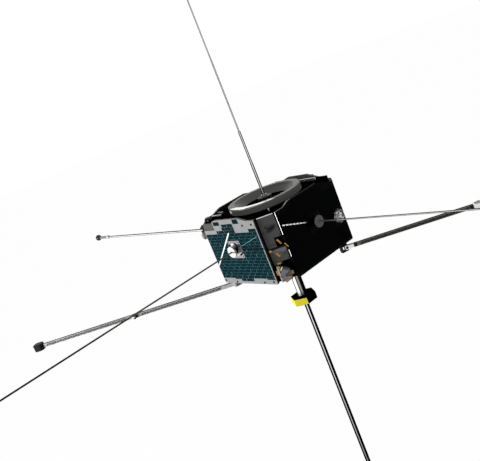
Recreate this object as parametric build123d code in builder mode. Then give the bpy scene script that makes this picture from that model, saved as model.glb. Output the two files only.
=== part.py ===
from build123d import *
import os
from math import cos, radians, sin, sqrt

# Spin-stabilised science satellite. Millimetres, +Z up, origin at the centre of the
# separation ring's mating face. Front is -Y, right is +X.

# Body: four solar panels and four narrow corner faces round two decks
BODY_ACROSS = 800.0        # between the faces of opposite solar panels
PANEL_WIDTH = 586.0
PANEL_HEIGHT = 495.0
PANEL_THICK = 16.0
PANEL_DROP = 18.0          # crest of the panels below the mating face
PANEL_CREST = 264.0        # length of the raised middle of the top edge
PANEL_SLOPE = 80.0         # run of the slope on each side of the crest
PANEL_NEAR_SLOPE = 57.0    # the same on the right panel's near side
PANEL_BACK_CREST = 62.0    # back panel's crest shorter by this at the far corner
PANEL_STEP = 23.0          # shoulders below the crest
PANEL_FAR_STEP = 50.0      # right panel's end below its crest, at the far corner
PANEL_BACK_STEP = 67.0     # back panel's end below its crest, at the same corner
PANEL_CUT = 8.0            # cut bottom corners
DECK_THICK = 20.0
DECK_RISE = 8.0            # bottom deck's face above the panels' lower edges
CORNER_INSET = 12.0        # corner plates set back from the corner faces
CORNER_THICK = 10.0
CLOSEOUT_THICK = 10.0
CLOSEOUT_MARGIN = 1.0      # closeouts' ends short of the deck's corners
CORNER_HALF = 56.0         # half width of a corner plate
CORNER_LOW = 44.0          # top of the back right corner plate below the others

# Separation ring and the fittings on the top deck
RING_HEIGHT = 48.0
RING_RADIUS = 273.0
RING_RIM = 42.0            # width of the flat mating face
RING_CONE = 66.0           # inward run of the inner cone
BOLT_CIRCLE = 504.0
BOLT_COUNT = 12
BOLT_HOLE = 6.6
BOLT_DEPTH = 18.0

# Booms along the spin axis
UPPER_BASE_DIA = 106.0
UPPER_BASE_HEIGHT = 32.0
UPPER_COLLAR_DIA = 46.0
UPPER_COLLAR_HEIGHT = 12.0
UPPER_SOCKET = 24.0        # depth of the socket in the base
UPPER_DIA = 21.0
UPPER_STAGES = (
    # diameter and top of each stage above the first
    (18.0, 480.0),
    (11.0, 1000.0),
    (9.0, 1500.0),
)
UPPER_FIRST_TOP = 240.0
MAST_DIA = 73.0
MAST_LENGTH = 312.0
MAST_FLANGE_DIA = 112.0
MAST_FLANGE_THICK = 8.0
HEX_CORNERS = 200.0        # across corners
HEX_HEIGHT = 56.0
HEX_BEVEL = 3.0
LOWER_DIA = 37.0
LOWER_LENGTH = 1577.0
LOWER_SOCKET = 16.0
LOWER_TIP_BEVEL = 9.0
SEAT_GAP = 0.3             # between round faces that seat in each other

# Radial booms: one unit on each panel, three of them run out to a sphere
BOOM_Z = -243.0
BOOM_REACH = 2936.0        # spin axis to the centre of a sphere
UNIT_PLATE = 132.0
UNIT_PLATE_THICK = 6.0
UNIT_PLATE_ROUND = 8.0
UNIT_DIA = 60.0
UNIT_REACH = 44.0          # cylinder's end beyond the panel
UNIT_SOCKET = 30.0
DISC_DIA = 82.0
DISC_THICK = 6.0
ROD_DIA = 11.0
LEFT_ROD_DIA = 20.0        # the stiffer boom on the left
SLEEVE_DIA = 30.0
SLEEVE_NOSE_DIA = 20.0
SLEEVE_NOSE = 60.0         # tapered length at the sphere
SLEEVE_LENGTH = 180.0
COLLAR_DIA = 34.0
COLLAR_LENGTH = 26.0
SPHERE_DIA = 64.0
SPHERE_NECK_DIA = 14.0
SPHERE_NECK = 8.0          # neck showing between sphere and sleeve

# Lattice booms under the bottom deck: both on one slanting line beside the axis
LINE_ANGLE = 41.0          # of the line, from +X
LINE_OFFSET = 80.0         # of the line from the spin axis, to the front right
BOOM_DROP = 44.0           # boom centre below the bottom deck
HINGE_REACH = 427.0        # along the line to the root hinges
LATTICE_START = 486.0      # along the line to the lattices' root ends
LATTICE_SIZE = 27.0        # square section
LATTICE_PITCH = 48.0       # one pair of triangles
LATTICE_RIB = 4.0          # along the edges and between triangles
LATTICE_POCKET = 3.5       # depth between the ribs
LATTICE_END = 22.0         # plain length at each end, at least
KNUCKLE_DIA = 32.0
KNUCKLE_HEIGHT = 30.0
ARM_WIDTH = 30.0
ARM_HEIGHT = 26.0
LUG_THICK = 9.0
LUG_GAP = 0.3              # knuckle to each lug
WEB_REACH = 38.0           # pin to the middle of a bracket's web
WEB_THICK = 10.0
WEB_WIDTH = 36.0
WEB_TURN = -150.0          # from the boom's own direction round to the web
FLANGE_LENGTH = 78.0
FLANGE_WIDTH = 48.0
FLANGE_SHIFT = 18.0        # flange set in from the web, clear of the panels
FLANGE_THICK = 8.0
PIN_DIA = 12.0
PIN_PLAY = 0.05            # radial, at every hinge pin
PIN_HEAD_DIA = 16.0
PIN_HEAD_HEIGHT = 4.0
ELBOW_REACH = 1266.0       # along the line to the elbow's parting face
ELBOW_SIDE = 26.0          # elbow pin beside the boom's centre line
ELBOW_BLOCK = 28.0
ELBOW_SIZE = 30.0
ELBOW_LUG_DIA = 18.0
ELBOW_TONGUE = 12.0        # height of the tongue between the lugs
ELBOW_PIN_DIA = 8.0
ELBOW_PIN_HEAD = 3.0
ELBOW_GAP = 0.6            # parting gap of the two blocks
LEFT_LATTICE_END = 2085.0
RIGHT_LATTICE_END = 1330.0
SENSOR_LENGTH = 80.0
SENSOR_WIDTH = 68.0
SENSOR_HEIGHT = 54.0
SENSOR_CUT = 16.0
SENSOR_BEVEL = 4.0
SENSOR_NECK = 10.0
SENSOR_NECK_DIA = 20.0
FORK_LENGTH = 62.0
FORK_BASE = 12.0
FORK_PRONG = 5.0
FORK_WIDTH = 34.0
FORK_OPENING = 52.0
DRUM_DIA = 46.0
DRUM_LENGTH = 40.0
DRUM_PIVOT_DIA = 10.0

# Instruments on the faces and corners
DOME_U = 236.0             # right panel: along the panel, then height
DOME_Z = -310.0
DOME_SIDES = 10
DOME_STEPS = (
    # radius over the corners, height above the panel
    (52.0, 0.0),
    (52.0, 8.0),
    (45.0, 27.0),
    (29.0, 41.0),
)
NOTCH_WIDTH = 128.0        # opening in the front panel's left shoulder
NOTCH_DEPTH = 49.0
NOTCH_GAP = 3.0
NOTCH_SETBACK = 4.0
BLOCK_SIZE = 360.0         # tanks and electronics in the middle of the body
BLOCK_HEIGHT = 300.0

# Worked-out places
HALF = BODY_ACROSS / 2
PANEL_HALF = PANEL_WIDTH / 2
PANEL_TOP = -PANEL_DROP
PANEL_SHOULDER = PANEL_TOP - PANEL_STEP
PANEL_BOTTOM = PANEL_TOP - PANEL_HEIGHT
CORNER_FACE = (HALF + PANEL_HALF) / sqrt(2)
CORNER_OUT = CORNER_FACE - CORNER_INSET
CORNER_IN = CORNER_OUT - CORNER_THICK
DECK_HALF = HALF - PANEL_THICK
DECK_TOP = -RING_HEIGHT
TOP_DECK_UNDER = DECK_TOP - DECK_THICK
BELLY = PANEL_BOTTOM + DECK_RISE
BELLY_TOP = BELLY + DECK_THICK
DECK_CORNER_HALF = sqrt(2) * DECK_HALF - CORNER_IN
LINE_Z = BELLY - BOOM_DROP
MAST_END = BELLY - MAST_LENGTH
HEX_END = MAST_END - HEX_HEIGHT

os.makedirs("parts", exist_ok=True)


def write(part, name):
    """Labels a finished piece and writes it under its node name."""
    part.label = name
    export_step(part, f"parts/{name}.step")


def side_plane(angle, distance):
    """Upright plane facing out at an angle: X to the right as seen from outside, Y up."""
    out = (cos(radians(angle)), sin(radians(angle)), 0)
    return Plane(
        origin=(distance * out[0], distance * out[1], 0),
        x_dir=(-out[1], out[0], 0),
        z_dir=out,
    )


def line_plane(turn, along, aside=0.0):
    """Level plane on a lattice boom's line: X outward along the boom, Z up.

    turn is 0 for the right boom and 180 for the left one, which runs the other way.
    """
    angle = radians(LINE_ANGLE + turn)
    side = LINE_OFFSET if turn == 0 else -LINE_OFFSET
    out = (cos(angle), sin(angle))
    left = (-out[1], out[0])
    x = along * out[0] + (aside - side) * left[0]
    y = along * out[1] + (aside - side) * left[1]
    return Plane(origin=(x, y, LINE_Z), x_dir=(out[0], out[1], 0), z_dir=(0, 0, 1))


# Decks: octagons that the panels and corner plates are fastened round
for deck_name, deck_z in (("top_deck", TOP_DECK_UNDER), ("bottom_deck", BELLY)):
    with BuildPart() as deck:
        with BuildSketch(Plane.XY.offset(deck_z)):
            Rectangle(2 * DECK_HALF, 2 * DECK_HALF)
            Rectangle(2 * CORNER_IN, 2 * CORNER_IN, rotation=45, mode=Mode.INTERSECT)
        extrude(amount=DECK_THICK)
    write(deck.part, deck_name)

# Solar panels: a raised crest between two shoulders or slopes, and cut lower corners
SIDES = (("front", -90), ("right", 0), ("back", 90), ("left", 180))
CREST_END = PANEL_CREST / 2
CREST_FOOT = CREST_END + PANEL_SLOPE
PANEL_TOPS = {
    # left end's height, left foot, crest's left end, crest's right end, right foot, right height
    "front": (PANEL_SHOULDER, -CREST_FOOT, -CREST_END, CREST_END, CREST_FOOT, PANEL_SHOULDER),
    "right": (
        PANEL_SHOULDER,
        -CREST_FOOT,
        -CREST_FOOT + PANEL_NEAR_SLOPE,
        CREST_END,
        PANEL_HALF,
        PANEL_TOP - PANEL_FAR_STEP,
    ),
    "back": (
        PANEL_TOP - PANEL_BACK_STEP,
        -PANEL_HALF,
        -CREST_END + PANEL_BACK_CREST,
        CREST_END,
        CREST_FOOT,
        PANEL_SHOULDER,
    ),
    "left": (PANEL_SHOULDER, -CREST_FOOT, -CREST_END, CREST_END, CREST_FOOT, PANEL_SHOULDER),
}
for side, angle in SIDES:
    left_z, left_foot, crest_left, crest_right, right_foot, right_z = PANEL_TOPS[side]
    outline = (
        (-PANEL_HALF, PANEL_BOTTOM + PANEL_CUT),
        (-PANEL_HALF + PANEL_CUT, PANEL_BOTTOM),
        (PANEL_HALF - PANEL_CUT, PANEL_BOTTOM),
        (PANEL_HALF, PANEL_BOTTOM + PANEL_CUT),
        (PANEL_HALF, right_z),
        (right_foot, right_z),
        (crest_right, PANEL_TOP),
        (crest_left, PANEL_TOP),
        (left_foot, left_z),
        (-PANEL_HALF, left_z),
    )
    with BuildPart() as panel:
        with BuildSketch(side_plane(angle, HALF)):
            with BuildLine():
                Polyline(*dict.fromkeys(outline), close=True)
            make_face()
            if side == "front":
                with Locations((-PANEL_HALF, PANEL_SHOULDER - NOTCH_DEPTH)):
                    Rectangle(
                        NOTCH_WIDTH,
                        NOTCH_DEPTH + PANEL_STEP,
                        align=(Align.MIN, Align.MIN),
                        mode=Mode.SUBTRACT,
                    )
        extrude(amount=-PANEL_THICK)
    write(panel.part, f"solar_panel_{side}")

# Plate in the front panel's notch, on the edge of the top deck
with BuildPart() as notch_plate:
    with BuildSketch(side_plane(-90, DECK_HALF)):
        with Locations((-PANEL_HALF + NOTCH_GAP, PANEL_SHOULDER - NOTCH_DEPTH + NOTCH_GAP)):
            Rectangle(
                NOTCH_WIDTH - 2 * NOTCH_GAP,
                NOTCH_DEPTH - NOTCH_GAP,
                align=(Align.MIN, Align.MIN),
            )
    extrude(amount=PANEL_THICK - NOTCH_SETBACK)
write(notch_plate.part, "notch_plate")

# Dark closeouts behind the corner plates, from deck to deck
CORNERS = (("front_right", -45), ("back_right", 45), ("back_left", 135), ("front_left", 225))
with BuildPart() as closeouts:
    for corner, angle in CORNERS:
        with BuildSketch(side_plane(angle, CORNER_IN)):
            with Locations((0, (BELLY_TOP + TOP_DECK_UNDER) / 2)):
                Rectangle(
                    2 * (DECK_CORNER_HALF - CLOSEOUT_MARGIN),
                    TOP_DECK_UNDER - BELLY_TOP,
                )
        extrude(amount=-CLOSEOUT_THICK)
write(closeouts.part, "corner_closeouts")

# Plain corner plates at the back and on the front left
PLATE_SLOT = (0.6 * (PANEL_SHOULDER - BELLY), 0.7 * CORNER_HALF)
with BuildPart() as plates:
    for corner, angle in CORNERS[1:]:
        plate_top = PANEL_SHOULDER - (CORNER_LOW if corner == "back_right" else 0)
        with BuildSketch(side_plane(angle, CORNER_IN)):
            with Locations((0, (plate_top + BELLY) / 2)):
                Rectangle(2 * CORNER_HALF, plate_top - BELLY)
        extrude(amount=CORNER_THICK)
        with BuildSketch(side_plane(angle, CORNER_OUT)):
            with Locations((0, (PANEL_SHOULDER + BELLY) / 2)):
                SlotOverall(*PLATE_SLOT, rotation=90)
        extrude(amount=-CORNER_THICK / 2, mode=Mode.SUBTRACT)
write(plates.part, "corner_plates")

# Near corner: an upper plate with an oval window and a stepped foot, and a lower plate
NEAR_LEFT = -54.0          # edges of both plates, off centre to the right
NEAR_RIGHT = 61.0
WINDOW_U = 12.0
WINDOW_Z = -120.0
WINDOW_HALF_WIDTH = 40.0
WINDOW_HALF_HEIGHT = 17.0
WINDOW_DEPTH = 6.0
STEP_U = 8.0               # left edge of the dark step at the plate's foot
STEP_Z = -202.0
PLATE_SPLIT_Z = -266.0
PLATE_SPLIT = 5.0
LOWER_PLATE_Z = -370.0
with BuildPart() as near_upper:
    with BuildSketch(side_plane(-45, CORNER_IN)):
        with BuildLine():
            Polyline(
                (NEAR_LEFT, PLATE_SPLIT_Z),
                (STEP_U, PLATE_SPLIT_Z),
                (STEP_U, STEP_Z),
                (NEAR_RIGHT, STEP_Z),
                (NEAR_RIGHT, PANEL_SHOULDER),
                (NEAR_LEFT, PANEL_SHOULDER),
                close=True,
            )
        make_face()
    extrude(amount=CORNER_THICK)
    with BuildSketch(side_plane(-45, CORNER_OUT)):
        with Locations((WINDOW_U, WINDOW_Z)):
            Ellipse(WINDOW_HALF_WIDTH, WINDOW_HALF_HEIGHT)
    extrude(amount=-WINDOW_DEPTH, mode=Mode.SUBTRACT)
write(near_upper.part, "near_corner_upper_plate")

with BuildPart() as near_lower:
    with BuildSketch(side_plane(-45, CORNER_IN)):
        with Locations((NEAR_LEFT, LOWER_PLATE_Z)):
            Rectangle(
                NEAR_RIGHT - NEAR_LEFT,
                PLATE_SPLIT_Z - PLATE_SPLIT - LOWER_PLATE_Z,
                align=(Align.MIN, Align.MIN),
            )
    extrude(amount=CORNER_THICK)
write(near_lower.part, "near_corner_lower_plate")

# Instrument box with a slanting top at the foot of the near corner, on the closeout
NEAR_BOX_LEFT = -45.0
NEAR_BOX_RIGHT = 33.0
NEAR_BOX_TOP = -386.0
NEAR_BOX_SLANT = 44.0      # top's fall from left to right
NEAR_BOX_OUT = 30.0        # stands out from the corner plates' faces
NEAR_BOX_CUT = 10.0
with BuildPart() as near_box:
    with BuildSketch(side_plane(-45, CORNER_IN)):
        with BuildLine():
            Polyline(
                (NEAR_BOX_LEFT, BELLY),
                (NEAR_BOX_RIGHT, BELLY),
                (NEAR_BOX_RIGHT, NEAR_BOX_TOP - NEAR_BOX_SLANT),
                (NEAR_BOX_LEFT, NEAR_BOX_TOP),
                close=True,
            )
        make_face()
    extrude(amount=CORNER_THICK + NEAR_BOX_OUT)
    chamfer(near_box.faces().sort_by(Axis((0, 0, 0), (1, -1, 0)))[-1].edges(), NEAR_BOX_CUT)
write(near_box.part, "near_corner_box")

# Gold brackets: place on the corner face, size, and what they stand on
GOLD_THICK = 7.0
GOLD_BRACKETS = (
    # u, z, width, height, turn, seat (distance from the spin axis)
    (33.0, -236.0, 40.0, 11.0, -62.0, CORNER_IN),
    (-45.0, -281.0, 16.0, 15.0, 0.0, CORNER_OUT),
    (-5.0, -311.0, 14.0, 16.0, 0.0, CORNER_OUT),
    (-20.0, -378.0, 24.0, 12.0, 0.0, CORNER_IN),
    (-53.0, -438.0, 14.0, 33.0, 0.0, CORNER_IN),
    (42.0, -464.0, 16.0, 24.0, 0.0, CORNER_IN),
)
with BuildPart() as gold:
    for u, z, width, height, turn, seat in GOLD_BRACKETS:
        with BuildSketch(side_plane(-45, seat)):
            with Locations((u, z)):
                Rectangle(width, height, rotation=turn)
        extrude(amount=CORNER_OUT - seat + GOLD_THICK)
write(gold.part, "gold_brackets")

# Particle sensor on the front left corner: a cap on the deck, a grooved head, a foot below
CAP_HALF = 36.0
CAP_OUT = 466.0            # the cap's outer and inner faces from the spin axis
CAP_IN = 424.0
CAP_HEIGHT = 26.0
CAP_CUT = 10.0
HEAD_HALF = 46.0
HEAD_TOP = -64.0
HEAD_BOTTOM = -110.0
HEAD_OUT = 27.0
HEAD_CUT = 7.0
HEAD_GROOVE = 11.0         # height of the groove across the head
HEAD_GROOVE_DEPTH = 14.0
FOOT_HALF = 24.0
FOOT_HEIGHT = 54.0
FOOT_OUT = 57.0
FOOT_CUT = 14.0
with BuildPart() as head:
    with BuildSketch(side_plane(225, CORNER_OUT)):
        with Locations((0, (HEAD_TOP + HEAD_BOTTOM) / 2)):
            Rectangle(2 * HEAD_HALF, HEAD_TOP - HEAD_BOTTOM)
    extrude(amount=HEAD_OUT)
    chamfer(head.faces().sort_by(Axis((0, 0, 0), (-1, -1, 0)))[-1].edges(), HEAD_CUT)
    with BuildSketch(side_plane(225, CORNER_OUT + HEAD_OUT)):
        with Locations((0, (HEAD_TOP + HEAD_BOTTOM) / 2)):
            Rectangle(2 * HEAD_HALF, HEAD_GROOVE)
    extrude(amount=-HEAD_GROOVE_DEPTH, mode=Mode.SUBTRACT)
    with BuildSketch(side_plane(225, CAP_OUT)):
        with Locations((0, DECK_TOP)):
            Rectangle(2 * CAP_HALF, CAP_HEIGHT, align=(Align.CENTER, Align.MIN))
        chamfer(vertices().group_by(Axis.Z)[-1], CAP_CUT)
    extrude(amount=CAP_IN - CAP_OUT)
write(head.part, "particle_sensor_head")

with BuildPart() as foot:
    with BuildSketch(side_plane(225, CORNER_OUT)):
        with Locations((0, HEAD_BOTTOM - FOOT_HEIGHT / 2)):
            Rectangle(2 * FOOT_HALF, FOOT_HEIGHT)
    extrude(amount=FOOT_OUT)
    chamfer(foot.faces().sort_by(Axis((0, 0, 0), (-1, -1, 0)))[-1].edges(), FOOT_CUT)
write(foot.part, "particle_sensor_foot")

# Rails and a post on the top deck: centre, length along X, width along Y, height
RAIL_GAP = 33.0            # between the ring and the rail behind it
DECK_RAILS = (
    # x, y, length, width, height
    (-312.0, -236.0, 112.0, 12.0, 9.0),
    (-342.0, -176.0, 72.0, 12.0, 9.0),
    (146.0, RING_RADIUS + RAIL_GAP + 6.0, 160.0, 12.0, 18.0),
    (288.0, -239.0, 8.0, 8.0, 20.0),
)
with BuildPart() as rails:
    for x, y, length, width, height in DECK_RAILS:
        with BuildSketch(Plane.XY.offset(DECK_TOP)):
            with Locations((x, y)):
                Rectangle(length, width)
        extrude(amount=height)
write(rails.part, "deck_rails")

# Foil-covered dome near the far edge of the right panel: flat-sided, narrowing in steps
with BuildPart() as dome:
    for radius, height in DOME_STEPS:
        with BuildSketch(side_plane(0, HALF + height)):
            with Locations((DOME_U, DOME_Z)):
                RegularPolygon(radius, DOME_SIDES)
    loft(ruled=True)
write(dome.part, "foil_dome")

# Tanks and electronics: one plain block on the bottom deck
with BuildPart() as block:
    with BuildSketch(Plane.XY.offset(BELLY_TOP)):
        Rectangle(BLOCK_SIZE, BLOCK_SIZE)
    extrude(amount=BLOCK_HEIGHT)
write(block.part, "equipment_block")

# Separation ring: flat mating face, plain outer wall, cone inside, bolt holes
with BuildPart() as ring:
    with BuildSketch(Plane.XZ):
        with BuildLine():
            Polyline(
                (RING_RADIUS - RING_RIM, 0),
                (RING_RADIUS, 0),
                (RING_RADIUS, -RING_HEIGHT),
                (RING_RADIUS - RING_RIM - RING_CONE, -RING_HEIGHT),
                close=True,
            )
        make_face()
    revolve(axis=Axis.Z)
    with Locations(Plane.XY):
        with PolarLocations(BOLT_CIRCLE / 2, BOLT_COUNT):
            Hole(BOLT_HOLE / 2, depth=BOLT_DEPTH)
write(ring.part, "separation_ring")

# Upper boom: its base inside the ring, then stages that get thinner upward
UPPER_BASE_TOP = DECK_TOP + UPPER_BASE_HEIGHT
UPPER_COLLAR_TOP = UPPER_BASE_TOP + UPPER_COLLAR_HEIGHT
UPPER_FOOT = UPPER_COLLAR_TOP - UPPER_SOCKET
with BuildPart() as upper_base:
    with BuildSketch(Plane.XY.offset(DECK_TOP)):
        Circle(UPPER_BASE_DIA / 2)
    extrude(amount=UPPER_BASE_HEIGHT)
    with BuildSketch(Plane.XY.offset(UPPER_BASE_TOP)):
        Circle(UPPER_COLLAR_DIA / 2)
    extrude(amount=UPPER_COLLAR_HEIGHT)
    with BuildSketch(Plane.XY.offset(UPPER_COLLAR_TOP)):
        Circle(UPPER_DIA / 2 + SEAT_GAP)
    extrude(amount=-UPPER_SOCKET, mode=Mode.SUBTRACT)
write(upper_base.part, "upper_boom_base")

with BuildPart() as upper_boom:
    stage_foot = UPPER_FOOT
    for diameter, stage_top in ((UPPER_DIA, UPPER_FIRST_TOP), *UPPER_STAGES):
        with BuildSketch(Plane.XY.offset(stage_foot)):
            Circle(diameter / 2)
        extrude(amount=stage_top - stage_foot)
        stage_foot = stage_top
write(upper_boom.part, "upper_boom")

# Mast under the belly, its six-sided head and the long lower boom
with BuildPart() as mast:
    with BuildSketch(Plane.XY.offset(BELLY)):
        Circle(MAST_FLANGE_DIA / 2)
    extrude(amount=-MAST_FLANGE_THICK)
    with BuildSketch(Plane.XY.offset(BELLY - MAST_FLANGE_THICK)):
        Circle(MAST_DIA / 2)
    extrude(amount=-(MAST_LENGTH - MAST_FLANGE_THICK))
write(mast.part, "mast_tube")

with BuildPart() as hex_head:
    with BuildSketch(Plane.XY.offset(HEX_END)):
        RegularPolygon(HEX_CORNERS / 2, 6, rotation=30)
    extrude(amount=HEX_HEIGHT)
    chamfer(hex_head.edges().filter_by(Plane.XY), HEX_BEVEL)
    with BuildSketch(Plane.XY.offset(HEX_END)):
        Circle(LOWER_DIA / 2 + SEAT_GAP)
    extrude(amount=LOWER_SOCKET, mode=Mode.SUBTRACT)
write(hex_head.part, "mast_head")

with BuildPart() as lower_boom:
    with BuildSketch(Plane.XY.offset(HEX_END + LOWER_SOCKET)):
        Circle(LOWER_DIA / 2)
    extrude(amount=-(LOWER_LENGTH + LOWER_SOCKET))
    chamfer(lower_boom.edges().group_by(Axis.Z)[0], LOWER_TIP_BEVEL)
write(lower_boom.part, "lower_boom")

# Radial boom units: plate and cylinder with a socket
RODS = {"front": ROD_DIA, "right": ROD_DIA, "left": LEFT_ROD_DIA, "back": SPHERE_NECK_DIA}
UNIT_END = HALF + UNIT_REACH
DISC_FACE = UNIT_END + DISC_THICK
ROD_START = UNIT_END - UNIT_SOCKET
with BuildPart() as units:
    for side, angle in SIDES:
        with BuildSketch(side_plane(angle, HALF)):
            with Locations((0, BOOM_Z)):
                RectangleRounded(UNIT_PLATE, UNIT_PLATE, UNIT_PLATE_ROUND)
        extrude(amount=UNIT_PLATE_THICK)
        with BuildSketch(side_plane(angle, HALF)):
            with Locations((0, BOOM_Z)):
                Circle(UNIT_DIA / 2)
        extrude(amount=UNIT_REACH)
        with BuildSketch(side_plane(angle, UNIT_END)):
            with Locations((0, BOOM_Z)):
                Circle(RODS[side] / 2 + SEAT_GAP)
        extrude(amount=-UNIT_SOCKET, mode=Mode.SUBTRACT)
write(units.part, "boom_units")

# Discs on the units' ends
with BuildPart() as discs:
    for side, angle in SIDES:
        with BuildSketch(side_plane(angle, UNIT_END)):
            with Locations((0, BOOM_Z)):
                Circle(DISC_DIA / 2)
                Circle(RODS[side] / 2 + SEAT_GAP, mode=Mode.SUBTRACT)
        extrude(amount=DISC_THICK)
write(discs.part, "boom_discs")

# Radial rods, each with a collar, a tapered sleeve and a sphere; the back one is reeled in
SLEEVE_TIP = BOOM_REACH - SPHERE_DIA / 2 - SPHERE_NECK
SLEEVE_ROOT = SLEEVE_TIP - SLEEVE_LENGTH
COLLAR_ROOT = SLEEVE_ROOT - COLLAR_LENGTH
STOWED_REACH = DISC_FACE + SPHERE_NECK + SPHERE_DIA / 2
RUN_OUT = [(side, angle) for side, angle in SIDES if side != "back"]
with BuildPart() as rods:
    for side, angle in RUN_OUT:
        with BuildSketch(side_plane(angle, ROD_START)):
            with Locations((0, BOOM_Z)):
                Circle(RODS[side] / 2)
        extrude(amount=COLLAR_ROOT - ROD_START)
write(rods.part, "radial_rods")

with BuildPart() as collars:
    for side, angle in RUN_OUT:
        with BuildSketch(side_plane(angle, COLLAR_ROOT)):
            with Locations((0, BOOM_Z)):
                Circle(COLLAR_DIA / 2)
        extrude(amount=COLLAR_LENGTH)
write(collars.part, "rod_collars")

with BuildPart() as sleeves:
    for side, angle in RUN_OUT:
        with BuildSketch(side_plane(angle, SLEEVE_ROOT)):
            with Locations((0, BOOM_Z)):
                Circle(SLEEVE_DIA / 2)
        extrude(amount=SLEEVE_LENGTH - SLEEVE_NOSE)
        with BuildSketch(side_plane(angle, SLEEVE_TIP - SLEEVE_NOSE)):
            with Locations((0, BOOM_Z)):
                Circle(SLEEVE_DIA / 2)
        with BuildSketch(side_plane(angle, SLEEVE_TIP)):
            with Locations((0, BOOM_Z)):
                Circle(SLEEVE_NOSE_DIA / 2)
        loft()
write(sleeves.part, "rod_sleeves")

with BuildPart() as spheres:
    for side, angle in SIDES:
        run_out = side != "back"
        centre = BOOM_REACH if run_out else STOWED_REACH
        neck_root = SLEEVE_TIP if run_out else ROD_START
        with BuildSketch(side_plane(angle, neck_root)):
            with Locations((0, BOOM_Z)):
                Circle(SPHERE_NECK_DIA / 2)
        extrude(amount=centre - neck_root)
        with Locations(side_plane(angle, centre)):
            with Locations((0, BOOM_Z)):
                Sphere(SPHERE_DIA / 2)
write(spheres.part, "rod_spheres")


def lattice(name, turn, start, end):
    """Square boom whose four faces carry triangular pockets between zigzag ribs."""
    length = end - start
    pairs = int((length - 2 * LATTICE_END) // LATTICE_PITCH)
    margin = (length - pairs * LATTICE_PITCH) / 2
    half = LATTICE_SIZE / 2
    rise = LATTICE_SIZE - 2 * LATTICE_RIB
    base = LATTICE_PITCH - 2 * LATTICE_RIB
    middle = line_plane(turn, start)
    with BuildPart() as boom:
        with BuildSketch(Plane(middle.origin, x_dir=middle.y_dir, z_dir=middle.x_dir)):
            Rectangle(LATTICE_SIZE, LATTICE_SIZE)
        extrude(amount=length)
        for up in (middle.z_dir, -middle.z_dir, middle.y_dir, -middle.y_dir):
            face = Plane(middle.origin + up * half, x_dir=middle.x_dir, z_dir=up)
            with BuildSketch(face):
                for pair in range(pairs):
                    foot = margin + pair * LATTICE_PITCH
                    for lean, x in ((1, foot), (-1, foot + LATTICE_PITCH / 2)):
                        with BuildLine():
                            Polyline(
                                (x + LATTICE_RIB, -lean * rise / 2),
                                (x + LATTICE_RIB + base, -lean * rise / 2),
                                (x + LATTICE_PITCH / 2, lean * rise / 2),
                                close=True,
                            )
                        make_face()
            extrude(amount=-LATTICE_POCKET, mode=Mode.SUBTRACT)
    write(boom.part, name)


def root_hinge(name, turn):
    """Bracket under the belly, its pin, and the boom's own knuckle and arm."""
    pin_place = line_plane(turn, HINGE_REACH)
    web_angle = radians(LINE_ANGLE + turn + WEB_TURN)
    toward_web = (cos(web_angle), sin(web_angle), 0)
    seat = Plane(pin_place.origin, x_dir=toward_web, z_dir=(0, 0, 1))
    lug_inside = KNUCKLE_HEIGHT / 2 + LUG_GAP
    with BuildPart() as bracket:
        for lug_floor in (lug_inside, -lug_inside - LUG_THICK):
            with BuildSketch(seat.offset(lug_floor)):
                Circle(KNUCKLE_DIA / 2)
                Rectangle(
                    WEB_REACH + WEB_THICK / 2, KNUCKLE_DIA, align=(Align.MIN, Align.CENTER)
                )
                Circle(PIN_DIA / 2 + PIN_PLAY, mode=Mode.SUBTRACT)
            extrude(amount=LUG_THICK)
        with BuildSketch(seat.offset(-lug_inside - LUG_THICK)):
            with Locations((WEB_REACH, 0)):
                Rectangle(WEB_THICK, WEB_WIDTH)
        extrude(amount=lug_inside + LUG_THICK + BOOM_DROP)
        with BuildSketch(seat.offset(BOOM_DROP)):
            with Locations((WEB_REACH, -FLANGE_SHIFT)):
                Rectangle(FLANGE_LENGTH, FLANGE_WIDTH)
        extrude(amount=-FLANGE_THICK)
    write(bracket.part, f"{name}_hinge_bracket")

    with BuildPart() as pin:
        with BuildSketch(seat.offset(-lug_inside - LUG_THICK)):
            Circle(PIN_DIA / 2)
        extrude(amount=2 * (lug_inside + LUG_THICK))
        with BuildSketch(seat.offset(-lug_inside - LUG_THICK)):
            Circle(PIN_HEAD_DIA / 2)
        extrude(amount=-PIN_HEAD_HEIGHT)
    write(pin.part, f"{name}_hinge_pin")

    with BuildPart() as root:
        with BuildSketch(pin_place.offset(-ARM_HEIGHT / 2)):
            Rectangle(
                LATTICE_START - HINGE_REACH, ARM_WIDTH, align=(Align.MIN, Align.CENTER)
            )
        extrude(amount=ARM_HEIGHT)
        with BuildSketch(pin_place.offset(-KNUCKLE_HEIGHT / 2)):
            Circle(KNUCKLE_DIA / 2)
        extrude(amount=KNUCKLE_HEIGHT)
        with BuildSketch(pin_place.offset(-KNUCKLE_HEIGHT / 2)):
            Circle(PIN_DIA / 2 + PIN_PLAY)
        extrude(amount=KNUCKLE_HEIGHT, mode=Mode.SUBTRACT)
    write(root.part, f"{name}_root")


# Lattice booms: the left one has an elbow, the right one is a single length
LEFT, RIGHT = 180, 0
INNER_END = ELBOW_REACH - ELBOW_BLOCK
OUTER_START = ELBOW_REACH + ELBOW_GAP + ELBOW_BLOCK
root_hinge("left_boom", LEFT)
root_hinge("right_boom", RIGHT)
lattice("left_boom_inner", LEFT, LATTICE_START, INNER_END)
lattice("left_boom_outer", LEFT, OUTER_START, LEFT_LATTICE_END)
lattice("right_boom_lattice", RIGHT, LATTICE_START, RIGHT_LATTICE_END)

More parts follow.
